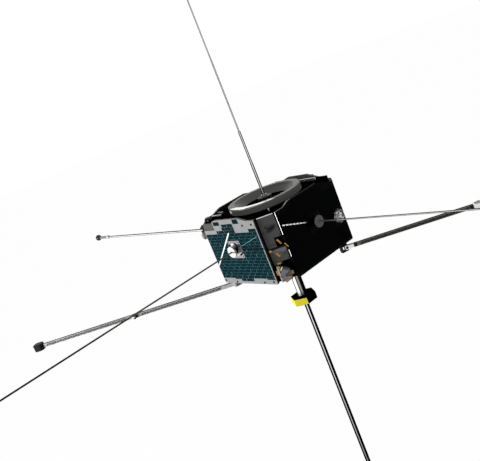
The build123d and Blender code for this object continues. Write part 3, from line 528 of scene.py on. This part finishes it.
# The plate is a paler, cooler grey beyond two slanting lines and a darker grey short of them, so
# it looks paler and cooler at its top.
lower_sheet, lower_place = new_material("two_tone_grey_sheet")
lower_slants = []
for slant, ends in ((LOWER_RISE, LOWER_RISE_ENDS), (LOWER_FALL, LOWER_FALL_ENDS)):
    lower_lean = node(lower_sheet, "VectorMath", {
        0: lower_place["Object"], 1: slant}, operation="DOT_PRODUCT")
    lower_slants.append(node(lower_sheet, "MapRange", {
        "Value": lower_lean, "From Min": ends[0], "From Max": ends[1]}))
lower_lit = node(lower_sheet, "Math", {
    0: lower_slants[0], 1: lower_slants[1]}, operation="MULTIPLY")
lower_dark = mottle(lower_sheet, lower_place, "#5e5e5b", "#686865", 40)
lower_axes = node(lower_sheet, "SeparateXYZ", {"Vector": lower_place["Object"]}).outputs
# Painted shadow: near black along the top of the plate.
lower_painted_shadow = node(lower_sheet, "Math", {
    0: lower_axes["Z"], 1: LOWER_SHADOW_Z}, operation="GREATER_THAN")
lower_grey = node(lower_sheet, "Mix", {
    "Factor": lower_lit, 6: lower_dark, 7: "#89868d"}, data_type="RGBA")
lower_colour = node(lower_sheet, "Mix", {
    "Factor": lower_painted_shadow, 6: lower_grey, 7: "#0c0c14"}, data_type="RGBA")
surface(lower_sheet, lower_place, lower_colour, 0.5, 40, specular=0.12)
coat(lower_sheet, "near_corner_lower_plate")

# The box's paint is pale with a lavender cast; the notch's is darker and more clouded.
pale_sheet = paint("lavender_grey_sheet", "#8d8b90", "#a09ea4", 40, 0.45, specular=0.2)
coat(pale_sheet, "near_corner_box")
notch_sheet = paint("notch_grey_sheet", "#434342", "#575755", 30, 0.5, specular=0.15)
coat(notch_sheet, "notch_plate")

CORNER_OUT = 478.0         # face of the corner plates, from the spin axis
PLATE_SCREW_DIA, PLATE_SCREW_HEIGHT = 7.0, 2.0
NEAR_SPOTS = (             # u and z of the screws on the near corner, then on the others
    (-46, -50), (53, -50), (-46, -150), (53, -190), (-46, -258), (53, -278), (-46, -360),
    (53, -360))
PLAIN_SPOTS = ((-48, -100), (48, -100), (-48, -300), (48, -300), (-48, -495), (48, -495))
plate_screw = screw_head(PLATE_SCREW_DIA, PLATE_SCREW_HEIGHT)
plate_out = CORNER_OUT + PLATE_SCREW_HEIGHT / 2
plate_places = [side_place(NEAR, u, plate_out, z) for u, z in NEAR_SPOTS]
plate_places += [
    side_place(angle, u, plate_out, z) for angle in OTHER_CORNERS for u, z in PLAIN_SPOTS]
plate_screws = copies(plate_screw, plate_places, "corner_plate_screws", last=False)
fit(plate_screws, black_steel)

TRIM_WIDTH, TRIM_THICK, TRIM_HEIGHT = 112.0, 2.0, 4.0
TRIM_U, TRIM_Z = 3.5, -43.5
trim_piece = copies(block(TRIM_WIDTH, TRIM_THICK, TRIM_HEIGHT, bevel=0.6), [
    side_place(NEAR, TRIM_U, CORNER_OUT + TRIM_THICK / 2, TRIM_Z)], "near_corner_top_trim")
fit(trim_piece, film_and_painted_reflection)

TONGUE_WIDTH, TONGUE_THICK, TONGUE_HEIGHT = 56.0, 8.0, 15.0
TONGUE_U, TONGUE_Z = -24.0, -378.5   # below the lower plate's left half, down to the box
TONGUE_SETBACK = 1.0
tongue_piece = copies(block(TONGUE_WIDTH, TONGUE_THICK, TONGUE_HEIGHT, bevel=0.5), [
    side_place(NEAR, TONGUE_U, CORNER_OUT - TONGUE_THICK / 2 - TONGUE_SETBACK, TONGUE_Z)],
    "lower_plate_tongue")
fit(tongue_piece, lower_sheet)

# Gold fittings: plated brackets, screwed to the near corner, with tabs and clips of the
# same plating round the instrument box.
# The plating drifts from brown to bright orange, as bent sheet does where it turns to light.
gold = paint("gold_plating", "#8a4606", "#ffc256", 12, 0.35, metallic=0.25, specular=0.4)
coat(gold, "gold_brackets")
TAB_THICK = 3.0
GOLD_TABS = (
    # u, z, distance out, width, height, turn
    (-4, -502, 509.0, 30, 13, 20), (72, -271, 491.0, 8, 36, 27), (-31, -396, 509.0, 16, 20, -30),
    (-38, -462, 509.0, 9, 16, 20), (22, -486, 509.0, 10, 12, -35), (-6, -318, 486.5, 9, 34, 32),
)
for number, (u, z, out, width, height, turn) in enumerate(GOLD_TABS, 1):
    tab_piece = copies(block(width, TAB_THICK, height, bevel=0.8), [
        side_place(NEAR, u, out, z, turn)], f"gold_tab_{number}")
    fit(tab_piece, gold)

# Instrument box trim: a white strip by its upper corner, a dark aperture with a raised rim
# and a row of screws down the cover.
BOX_FACE = 508.0           # front of the box, from the spin axis
STRIP_WIDTH, STRIP_DEPTH, STRIP_LENGTH = 5.0, 2.0, 26.0
STRIP_SEAT, PORT_SEAT = 0.2, 1.0     # how far they are let into the face
box_mark = copies(block(STRIP_WIDTH, STRIP_DEPTH, STRIP_LENGTH, bevel=0.6), [
    side_place(NEAR, -14, BOX_FACE + STRIP_DEPTH / 2 - STRIP_SEAT, -408, -40)],
    "box_white_strip")
fit(box_mark, film_and_painted_reflection)

PORT_DIA, PORT_DEPTH, PORT_RIM, PORT_HOLE = 22.0, 5.0, 3.0, 4.0
aperture = button(PORT_DIA, PORT_DEPTH, ((PORT_RIM, 0.0),), PORT_HOLE, sides=32)
box_port = copies(aperture, [
    side_place(NEAR, 4, BOX_FACE + PORT_DEPTH / 2 - PORT_SEAT, -462)], "box_aperture")
fit(box_port, grey_sheet)

BOX_SPOTS = ((-30, -430), (-30, -490), (20, -448), (20, -472))
box_screws = copies(plate_screw, [
    side_place(NEAR, u, BOX_FACE + PLATE_SCREW_HEIGHT / 2, z) for u, z in BOX_SPOTS],
    "box_screws", last=False)
fit(box_screws, black_steel)

# Particle sensor on the front left corner: black anodised cap and grooved head, a bronze
# foot below, and a gold edge strip down the cap's side.
SENSOR = 225               # angle of the sensor's corner
# Anodised metal is a soft black that still shows its edges.
black_box = paint("black_anodised", "#0a0a0a", "#171718", 20, 0.45, specular=0.12)
coat(black_box, "particle_sensor_head")
# Bare bronze sheet glints in patches between dark tarnish.
bronze_sheet = paint("bronze_sheet", "#0c0b0b", "#b0a7a2", 20, 0.45, metallic=0.3, specular=0.2)
coat(bronze_sheet, "particle_sensor_foot")

CAP_STRIP_WIDE, CAP_STRIP_DEEP, CAP_STRIP_LONG = 2.5, 5.0, 33.0
CAP_LEAN = Matrix.Rotation(radians(26.6), 4, "X")
cap_strip = copies(block(CAP_STRIP_WIDE, CAP_STRIP_DEEP, CAP_STRIP_LONG, bevel=0.8), [
    side_place(SENSOR, 37.5, 440.5, -48.0) @ CAP_LEAN], "sensor_cap_gold_edge")
# Worn plating is paler and less orange than the brackets'.
pale_gold = paint("pale_gold_plating", "#c9a760", "#e8d8a4", 10, 0.35, metallic=0.3, specular=0.3)
fit(cap_strip, pale_gold)

HEAD_FACE = 505.0          # front of the sensor's head, from the spin axis
KNOB_DIA, KNOB_HEIGHT, KNOB_SEAT = 15.0, 16.0, 2.0
sensor_knobs = copies(screw_head(KNOB_DIA, KNOB_HEIGHT), [
    side_place(SENSOR, u, HEAD_FACE + KNOB_HEIGHT / 2 - KNOB_SEAT, z)
    for u in (-26, 26) for z in (-72.5, -101.5)], "sensor_knobs")
fit(sensor_knobs, black_box)

# Deck rails: aluminium bars and a short post, milled and screwed flat on the top deck beside
# the separation ring.
# The cutter leaves a satin face, which catches the light along one edge.
milled = paint("milled_aluminium", "#d6d6d2", "#ecece9", 8, 0.35, metallic=0.7)
coat(milled, "deck_rails")

# Boom units: a can on a lavender-grey plate on each panel, closed by a white disc. The can carries
# painted reflections in dark and bright patches, black clips and bright bands hold the plate, and
# a black piece by the can's top is painted shade.
UNIT_PLATE = 6.0           # thickness of the plate
PLATE_REACH = 0.4065       # the plate lies below this distance from the middle, the can above
RIGHT_UNIT = 0.38          # the right unit lies beyond this
# Size of a patch of painted reflection on the can, and the share of patches that is dark.
GLINT_PATCH_MM, GLINT_DARK_SHARE = 17.0, 0.62   # size of a patch of foil, and the share that is dark


def patches(material, place, size_mm):
    """A random value for each patch of the given size."""
    cells = node(material, "TexVoronoi", {
        "Vector": place["Object"], "Scale": 1 / (size_mm * MM), "Randomness": 1.0})
    return node(material, "SeparateXYZ", {"Vector": cells.outputs["Color"]}).outputs["X"]


# The can's hard dark and bright patches are painted reflections; the plate is a soft lavender, and
# the whole right unit is painted near black as shade.
can_metal, can_place = new_material("glint_painted_can")
can_axes = node(can_metal, "SeparateXYZ", {"Vector": can_place["Object"]}).outputs
can_reach = two_way(can_metal, can_axes["X"], can_axes["Y"], "MAXIMUM")
can_plate = node(can_metal, "Math", {0: can_reach, 1: PLATE_REACH}, operation="LESS_THAN")
can_patch = patches(can_metal, can_place, GLINT_PATCH_MM)
can_step = node(can_metal, "Math", {0: can_patch, 1: GLINT_DARK_SHARE}, operation="GREATER_THAN")
can_painted_glints = node(can_metal, "Mix", {
    "Factor": can_step, 6: "#171318", 7: "#f2eef4"}, data_type="RGBA")
can_skin = mottle(can_metal, can_place, "#989299", "#aea9b0", 25)
can_front = node(can_metal, "Mix", {
    "Factor": can_plate, 6: can_painted_glints, 7: can_skin}, data_type="RGBA")
# Painted shade: the right unit is near black.
can_right = node(can_metal, "Math", {0: can_axes["X"], 1: RIGHT_UNIT}, operation="GREATER_THAN")
can_colour = node(can_metal, "Mix", {
    "Factor": can_right, 6: can_front, 7: "#050506"}, data_type="RGBA")
surface(can_metal, can_place, can_colour, 0.4, 20, specular=0.02)
coat(can_metal, "boom_units")

# White paint on the discs is flat and even; the right disc is painted mid grey as shade.
disc_paint, disc_place = new_material("white_disc_paint")
disc_axes = node(disc_paint, "SeparateXYZ", {"Vector": disc_place["Object"]}).outputs
# Painted shade: the right disc is mid grey.
disc_right = node(disc_paint, "Math", {
    0: disc_axes["X"], 1: RIGHT_UNIT}, operation="GREATER_THAN")
disc_white = mottle(disc_paint, disc_place, "#e6e6e4", "#f2f2f0", 25)
disc_colour = node(disc_paint, "Mix", {
    "Factor": disc_right, 6: disc_white, 7: "#98989a"}, data_type="RGBA")
surface(disc_paint, disc_place, disc_colour, 0.5, 25, specular=0.1)
coat(disc_paint, "boom_discs")

UNIT_SCREW = 54.0          # a plate screw's distance from the can's axis, each way
unit_screws = copies(plate_screw, [
    side_place(angle, u, PANEL_FACE + UNIT_PLATE + PLATE_SCREW_HEIGHT / 2, UNIT_Z + rise)
    for side, angle, *_ in SIDES
    for u in (-UNIT_SCREW, UNIT_SCREW) for rise in (-UNIT_SCREW, UNIT_SCREW)],
    "unit_plate_screws")
fit(unit_screws, black_steel)

# Painted clips are a deep black against the pale plate.
clip_black = paint("black_clip_paint", "#060506", "#0e0c0e", 10, 0.5, specular=0.05)
CLIP_HEIGHT = 3.0
ALL_SIDES, LIT_SIDES = (-90, 0, 90, 180), (-90, 90, 180)
CLIPS = (
    # name, u and z from the can's axis, length, width, turn, finish, slot, sides that have it
    ("lower_clip", 45, -34, 42, 11, 28, clip_black, "black_end", ALL_SIDES),
    ("side_clip", 56, 31, 24, 11, -70, clip_black, "black_end", ALL_SIDES),
    # The top piece is black sheet laid where the can's shaded flank shows: painted shade.
    ("top_shade_sheet", 22, 34, 38, 11, -56, clip_black, "black_end", ALL_SIDES),
    ("upper_clip", -53, 34, 15, 15, 45, clip_black, "black_end", ALL_SIDES),
    ("foot_band", 24, -32, 52, 9, 23, film_and_painted_reflection, "white_paint", LIT_SIDES),
    ("top_band", -20, 40, 24, 13, 20, film_and_painted_reflection, "white_paint", LIT_SIDES),
)
for name, u, rise, length, wide, turn, finish, slot, angles in CLIPS:
    clip_piece = copies(block(length, CLIP_HEIGHT, wide, bevel=0.8), [
        side_place(angle, u, PANEL_FACE + UNIT_PLATE + CLIP_HEIGHT / 2, UNIT_Z + rise, turn)
        for angle in angles], f"unit_{name}")
    fit(clip_piece, finish)

# Radial rods: metal tape that leaves each can and curls up into a tube. A white collar joins
# its far end to a tapered sleeve and a coated sphere.
ROD_HIGHLIGHT_WAY = (0.0, 0.386, 0.923)   # the lit stretch is measured from this direction
ROD_LIT, ROD_LIT_HALF = -0.25, 0.35
ROD_LEFT, ROD_RIGHT = -0.3, 0.62     # the left rod, and the right one past its root
ROD_DARK_Y, ROD_PALE_Y = -1.6, -1.25   # the front rod darkens between these

# The front rod is a dull grey, darker towards its outer end; on the side rods a painted highlight
# runs in a white band, with painted shade round the rest.
rod_metal, rod_place = new_material("tape_tube")
rod_axes = node(rod_metal, "SeparateXYZ", {"Vector": rod_place["Object"]}).outputs
rod_round = node(rod_metal, "VectorMath", {
    0: rod_place["Normal"], 1: ROD_HIGHLIGHT_WAY}, operation="DOT_PRODUCT")
# Painted highlight: white where the surface faces a set way; painted shade elsewhere on the side
# rods.
rod_highlight_band = node(rod_metal, "Math", {
    0: rod_round, 1: ROD_LIT, 2: ROD_LIT_HALF}, operation="COMPARE")
rod_left = node(rod_metal, "Math", {0: rod_axes["X"], 1: ROD_LEFT}, operation="LESS_THAN")
rod_bare = node(rod_metal, "Math", {0: rod_axes["X"], 1: ROD_RIGHT}, operation="GREATER_THAN")
rod_far = node(rod_metal, "Math", {0: rod_left, 1: rod_bare}, operation="MAXIMUM")
rod_run = node(rod_metal, "MapRange", {
    "Value": rod_axes["Y"], "From Min": ROD_DARK_Y, "From Max": ROD_PALE_Y})
rod_grey = mottle(rod_metal, rod_place, "#666662", "#82827d", 20)
rod_dull = node(rod_metal, "Mix", {
    "Factor": rod_run, 6: "#0a0a0b", 7: rod_grey}, data_type="RGBA")
rod_painted_light = node(rod_metal, "Mix", {
    "Factor": rod_highlight_band, 6: "#101012", 7: "#f0f0ee"}, data_type="RGBA")
rod_colour = node(rod_metal, "Mix", {
    "Factor": rod_far, 6: rod_dull, 7: rod_painted_light}, data_type="RGBA")
surface(rod_metal, rod_place, rod_colour, 0.4, 20, specular=0.15)
coat(rod_metal, "radial_rods")

# The collars' enamel is a flat, even white and the sleeves are a soft mid grey; the carbon
# coat on the spheres is dark with a clear shine.
white_enamel = paint("white_paint", "#dcdcd8", "#efefec", 25, 0.45, bump=0.06, specular=0.2)
coat(white_enamel, "rod_collars")
sleeve_metal = paint("grey_sleeve", "#77787a", "#949597", 15, 0.35, metallic=0.3)
coat(sleeve_metal, "rod_sleeves")
dark_gloss = paint("dark_carbon_coat", "#1c1d20", "#2b2c30", 12, 0.22)
coat(dark_gloss, "rod_spheres")

# Foil dome on the right panel: an instrument under a crumpled silver blanket, which
# replaces the plain solid. It is half a ball, flattened and pushed in and out by creases.
DOME_U, DOME_Z, DOME_RADIUS, DOME_RISE = 236.0, -310.0, 51.0, 43.0
FOIL_PATCH_MM = 16.0
CREASES = (
    # kind of pattern, its size and depth in mm
    ("VORONOI", 26.0, 9.0), ("CLOUDS", 9.0, 3.0),
)
bpy.ops.object.select_all(action="DESELECT")
bpy.ops.mesh.primitive_ico_sphere_add(subdivisions=6, radius=1.0)
dome = bpy.context.object
bpy.ops.object.mode_set(mode="EDIT")
bpy.ops.mesh.select_all(action="SELECT")
bpy.ops.mesh.bisect(plane_co=(0, 0, 0), plane_no=(0, 1, 0), use_fill=True, clear_outer=True)
bpy.ops.object.mode_set(mode="OBJECT")
dome.scale = (DOME_RADIUS * MM, DOME_RISE * MM, DOME_RADIUS * MM)
bpy.ops.object.transform_apply(location=False, rotation=False, scale=True)
for kind, size, depth in CREASES:
    pattern = bpy.data.textures.new(f"creases_{kind.lower()}", kind)
    pattern.noise_scale = size * MM
    crease = dome.modifiers.new("crease", "DISPLACE")
    crease.texture = pattern
    crease.texture_coords = "LOCAL"
    crease.strength = -depth * MM
    crease.mid_level = 0.0
    bpy.ops.object.modifier_apply(modifier="crease")
dome.data.transform(side_place(0, DOME_U, PANEL_FACE, DOME_Z))
dome.name = "crumpled_foil_dome"

# Crumpled foil throws the light every way, so it is a patchwork of dark and silver facets.
foil, foil_place = new_material("crumpled_foil")
foil_patch = patches(foil, foil_place, FOIL_PATCH_MM)
foil_ramp = node(foil, "MapRange", {"Value": foil_patch, "From Min": 0.25, "From Max": 0.9})
foil_colour = node(foil, "Mix", {
    "Factor": foil_ramp, 6: "#232325", 7: "#d9d9dc"}, data_type="RGBA")
surface(foil, foil_place, foil_colour, 0.3, 8, bump=0.5, metallic=0.6)
fit(dome, foil)
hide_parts("foil_dome")
coat(foil, "foil_dome")

# Booms along the spin axis: a bright tube in stages above, on a turned hub; below, a
# polished mast, the six-sided head and a dark tube that unrolls from it.


def banded(name, bands, fade=None):
    """A polished tube with painted reflections: colours in bands round the spin axis, each from
    its angle on.
    """
    material, place = new_material(name)
    axes = node(material, "SeparateXYZ", {"Vector": place["Object"]}).outputs
    turn = node(material, "Math", {0: axes["Y"], 1: axes["X"]}, operation="ARCTAN2")
    part = node(material, "Math", {0: turn, 1: 2 * pi}, operation="DIVIDE")
    share = node(material, "Math", {0: part, 1: 0.5}, operation="ADD")
    colour = node(material, "ValToRGB", {"Fac": share})
    stops = colour.color_ramp.elements
    for number, (angle, shade) in enumerate(bands):
        spot = angle / 360 + 0.5
        stop = stops[number] if number < 2 else stops.new(spot)
        stop.color = linear(shade)
        stop.position = spot
    if fade:
        top, foot, shade, strength = fade
        low = node(material, "MapRange", {
            "Value": axes["Z"], "From Min": top, "From Max": foot})
        fall = node(material, "Math", {0: low, 1: strength}, operation="MULTIPLY")
        colour = node(material, "Mix", {
            "Factor": fall, 6: colour, 7: shade}, data_type="RGBA")
    bright = node(material, "Math", {0: colour, 1: 0.2}, operation="GREATER_THAN")
    return surface(material, place, colour, 0.35, 20, bump=0.02, metallic=bright, specular=0.0)


# A polished tube's dark and white reflections are painted as lengthwise bands round it.
upper_tube = banded("bright_tube", (
    (-180, "#1a1a1b"), (-57, "#202021"), (-52, "#f4f4f4"), (-25, "#e8e8e8"), (-20, "#303030"),
    (30, "#262626"), (180, "#1a1a1b")))
coat(upper_tube, "upper_boom")

HUB_CORE = 0.026           # radius of the hub's bright core
# Turned metal left dull, with a polished core round the tube.
hub_metal, hub_place = new_material("turned_hub")
_, hub_out = from_axis(hub_metal, hub_place)
hub_core = node(hub_metal, "Math", {0: hub_out, 1: HUB_CORE}, operation="LESS_THAN")
hub_grey = mottle(hub_metal, hub_place, "#2a2a2a", "#3c3c3b", 15)
hub_colour = node(hub_metal, "Mix", {
    "Factor": hub_core, 6: hub_grey, 7: "#9a9a98"}, data_type="RGBA")
surface(hub_metal, hub_place, hub_colour, 0.4, 15, metallic=hub_core, specular=0.1)
coat(hub_metal, "upper_boom_base")

mast_tube = banded("polished_mast", (
    (-180, "#3a3a3b"), (-100, "#6a6a6b"), (-90, "#eaeaea"), (-60, "#f8f8f8"), (-55, "#343233"),
    (-48, "#343233"), (-43, "#a0a09c"), (-26, "#94948f"), (-19, "#262626"), (3, "#161617"),
    (180, "#1c1c1d")))
coat(mast_tube, "mast_tube")
# The dark tube's painted highlight fades towards its foot.
lower_tube = banded("dark_tube", (
    (-180, "#0c0c0d"), (-62, "#0a0a0b"), (-57, "#f4f4f4"), (-42, "#ffffff"), (-36, "#0a0a0b"),
    (180, "#0c0c0d")), (-0.9, -2.45, "#0c0c0d", 0.75))
coat(lower_tube, "lower_boom")

# Paint on the head: flat warm yellow on the front faces; the rest is painted dead black as shade.
head_paint, head_place = new_material("yellow_paint_and_painted_shade")
head_normal = node(head_paint, "SeparateXYZ", {"Vector": head_place["Normal"]}).outputs
head_front = node(head_paint, "Math", {0: head_normal["Y"], 1: -0.3}, operation="LESS_THAN")
head_left = node(head_paint, "Math", {0: head_normal["X"], 1: 0.7}, operation="LESS_THAN")
# Painted shade: faces other than the front ones are black.
head_tilt = node(head_paint, "Math", {0: head_normal["Z"]}, operation="ABSOLUTE")
head_side = node(head_paint, "Math", {0: head_tilt, 1: 0.5}, operation="LESS_THAN")
head_near = node(head_paint, "Math", {0: head_front, 1: head_left}, operation="MULTIPLY")
head_yellow = node(head_paint, "Math", {0: head_near, 1: head_side}, operation="MULTIPLY")
head_warm = mottle(head_paint, head_place, "#f2dc30", "#fdf04c", 33)
head_colour = node(head_paint, "Mix", {
    "Factor": head_yellow, 6: "#070707", 7: head_warm}, data_type="RGBA")
surface(head_paint, head_place, head_colour, 0.45, 33, specular=0.0)
coat(head_paint, "mast_head")

# Lattice booms: square bars with pockets cut in all four faces, of satin aluminium. The left boom
# is painted paler as light and the right one darker as shade, its pocket floors darkest as shade
# in the recesses. The right one has dark ends where its fittings are glued in.
LINE_ANGLE, LINE_OFFSET, LINE_Z = 41.0, 80.0, -549.0
LATTICE_HALF, RIB_DEPTH = 13.5, 1.5
END_HALF = 24.0            # half length of a dark end


def lattice_paint(name, rib_low, rib_high, patch_mm, pocket, ends):
    """Ribs and pockets told apart by how far a point lies from the boom's centre line."""
    material, place = new_material(name)
    line = node(material, "Mapping", {
        "Vector": place["Object"], "Rotation": (0.0, 0.0, radians(-LINE_ANGLE)),
        "Location": (0.0, LINE_OFFSET * MM, -LINE_Z * MM)}, vector_type="POINT")
    axes = node(material, "SeparateXYZ", {"Vector": line}).outputs
    out = two_way(material, axes["Y"], axes["Z"], "MAXIMUM")
    rib = node(material, "Math", {
        0: out, 1: (LATTICE_HALF - RIB_DEPTH) * MM}, operation="GREATER_THAN")
    pale = mottle(material, place, rib_low, rib_high, patch_mm)
    colour = node(material, "Mix", {"Factor": rib, 6: pocket, 7: pale}, data_type="RGBA")
    for end in ends:
        near = node(material, "Math", {
            0: axes["X"], 1: end * MM, 2: END_HALF * MM}, operation="COMPARE")
        colour = node(material, "Mix", {
            "Factor": near, 6: colour, 7: "#121213"}, data_type="RGBA")
    return surface(material, place, colour, 0.45, 16, specular=0.15)


# Satin ribs over pockets painted dark as shade give a speckled grey from a step away.
left_ribs = lattice_paint("pale_lattice_ribs", "#3c3c3a", "#ffffff", 40, "#6c6c6a", ())
coat(left_ribs, "left_boom_inner", "left_boom_outer", "left_boom_root",
     "left_boom_hinge_bracket")
# Painted shade: the right boom's pockets are dark.
right_ribs = lattice_paint("dull_lattice_ribs", "#8c8c86", "#a4a49e", 16, "#3a3a37", (486, 1330))
coat(right_ribs, "right_boom_lattice")
# Paint on the right hinge is a flat black, so its parts run together.
hinge_black = paint("black_hinge_paint", "#070707", "#0f0f10", 20, 0.45, specular=0.1)
coat(hinge_black, "right_boom_hinge_bracket", "right_boom_hinge_pin")
# The right boom's machined blocks mirror the white surroundings.
bright_block = paint("bright_machined_block", "#dcdcd8", "#f0f0ec", 15, 0.45, metallic=1.0)
coat(bright_block, "right_boom_root", "right_boom_fork")
coat(black_box, "left_boom_sensor", "left_boom_elbow_inner")
coat(white_enamel, "right_boom_sensor", "left_boom_elbow_outer")
coat(milled, "left_boom_elbow_pin", "left_boom_hinge_pin")

# Red plugs: the release bolts' heads in the side of each boom's root block, one turned
# button copied to both booms.
PLUG_DIA, PLUG_HEIGHT = 19.0, 5.0
PLUG_ALONG, PLUG_SIDE = 436.0, 17.5          # from the spin axis, and from the boom's line


def line_place(angle, along_mm, across_mm):
    """Place by a boom's line, for a piece made facing -Y in the boom's own direction."""
    return (Matrix.Rotation(radians(angle), 4, "Z")
            @ Matrix.Translation((along_mm * MM, across_mm * MM, LINE_Z * MM)))


# Red enamel shows as one small satin dot on each boom.
red_paint = paint("dark_red_paint", "#a01316", "#c42022", 8, 0.45, specular=0.2)
plug = screw_head(PLUG_DIA, PLUG_HEIGHT)
for side, angle, across, body in (
        ("left", LINE_ANGLE + 180, LINE_OFFSET - PLUG_SIDE, "left_boom_near"),
        ("right", LINE_ANGLE, -LINE_OFFSET - PLUG_SIDE, "right_boom")):
    red_plug = copies(plug, [line_place(angle, PLUG_ALONG, across)], f"{side}_boom_red_plug",
                      last=False)
    fit(red_plug, red_paint, body)
bpy.data.objects.remove(plug)

# Camera at the photograph's viewpoint, above the near corner and rolled, so that the spin
# axis leans as in the photograph.
bpy.ops.object.select_all(action="DESELECT")
bpy.ops.object.camera_add(
    location=(3.52812, -2.83845, 0.91439),
    rotation=(radians(75.2835), radians(21.5367), radians(48.9093)))
camera = bpy.context.object
camera.data.lens = 48.175
camera.data.sensor_width = 36.0
camera.data.clip_end = 200.0
bpy.context.scene.camera = camera

# Floor: a wide pale sheet under the lower boom's tip. It is white to the eye and to
# mirrors, and keeps a trace of the shadow.
FLOOR_Z, FLOOR_SIZE = -2.46, 120.0
FLOOR_GLOW = 0.985         # the rest is a matt surface that takes the shadow


def seen(owner):
    """1 for a ray from the eye, off a mirror or through glass, and 0 for one that lights."""
    path = node(owner, "LightPath").outputs
    straight = node(owner, "Math", {
        0: path["Is Camera Ray"], 1: path["Is Glossy Ray"]}, operation="MAXIMUM")
    return node(owner, "Math", {
        0: straight, 1: path["Is Transmission Ray"]}, operation="MAXIMUM")


bpy.ops.mesh.primitive_plane_add(size=FLOOR_SIZE, location=(0, 0, FLOOR_Z))
floor = bpy.context.object
floor.name = "floor"
floor_white = bpy.data.materials.new("pale_floor")
clear_tree(floor_white)
floor_share = node(floor_white, "Math", {
    0: seen(floor_white), 1: FLOOR_GLOW}, operation="MULTIPLY")
floor_matt = node(floor_white, "BsdfDiffuse", {"Color": (0.9, 0.9, 0.9, 1.0)})
floor_glow = node(floor_white, "Emission", {"Color": (1.0, 1.0, 1.0, 1.0), "Strength": 1.0})
floor_mix = node(floor_white, "MixShader", {"Fac": floor_share, 1: floor_matt, 2: floor_glow})
node(floor_white, "OutputMaterial", {"Surface": floor_mix})
floor.data.materials.append(floor_white)

# World: white where it is seen, mirrored or looked through, so that the edges stay clean,
# and a low even fill on the object.
FILL = 0.18
world = bpy.data.worlds.new("studio")
clear_tree(world)
bpy.context.scene.world = world
sky_level = node(world, "MapRange", {"Value": seen(world), "To Min": FILL, "To Max": 1.0})
sky = node(world, "Background", {"Color": (1.0, 1.0, 1.0, 1.0), "Strength": sky_level})
node(world, "OutputWorld", {"Surface": sky})

# Key light: a wide, low strip at the front left, level with the body, so that a level rod
# throws a clear shadow line while upright edges stay soft.
KEY_DISTANCE, KEY_Z = 6.0, -0.22
KEY_WIDTH, KEY_HEIGHT, KEY_WATTS = 1.2, 0.03, 310.0
key_place = Vector((KEY_DISTANCE * TO_KEY[0], KEY_DISTANCE * TO_KEY[1], KEY_Z))
bpy.ops.object.light_add(type="AREA", location=key_place)
key = bpy.context.object
key.rotation_euler = (Vector((0, 0, KEY_Z)) - key_place).to_track_quat("-Z", "Y").to_euler()
key.data.shape = "RECTANGLE"
key.data.size = KEY_WIDTH
key.data.size_y = KEY_HEIGHT
key.data.energy = KEY_WATTS

bpy.context.scene.view_settings.view_transform = "Standard"
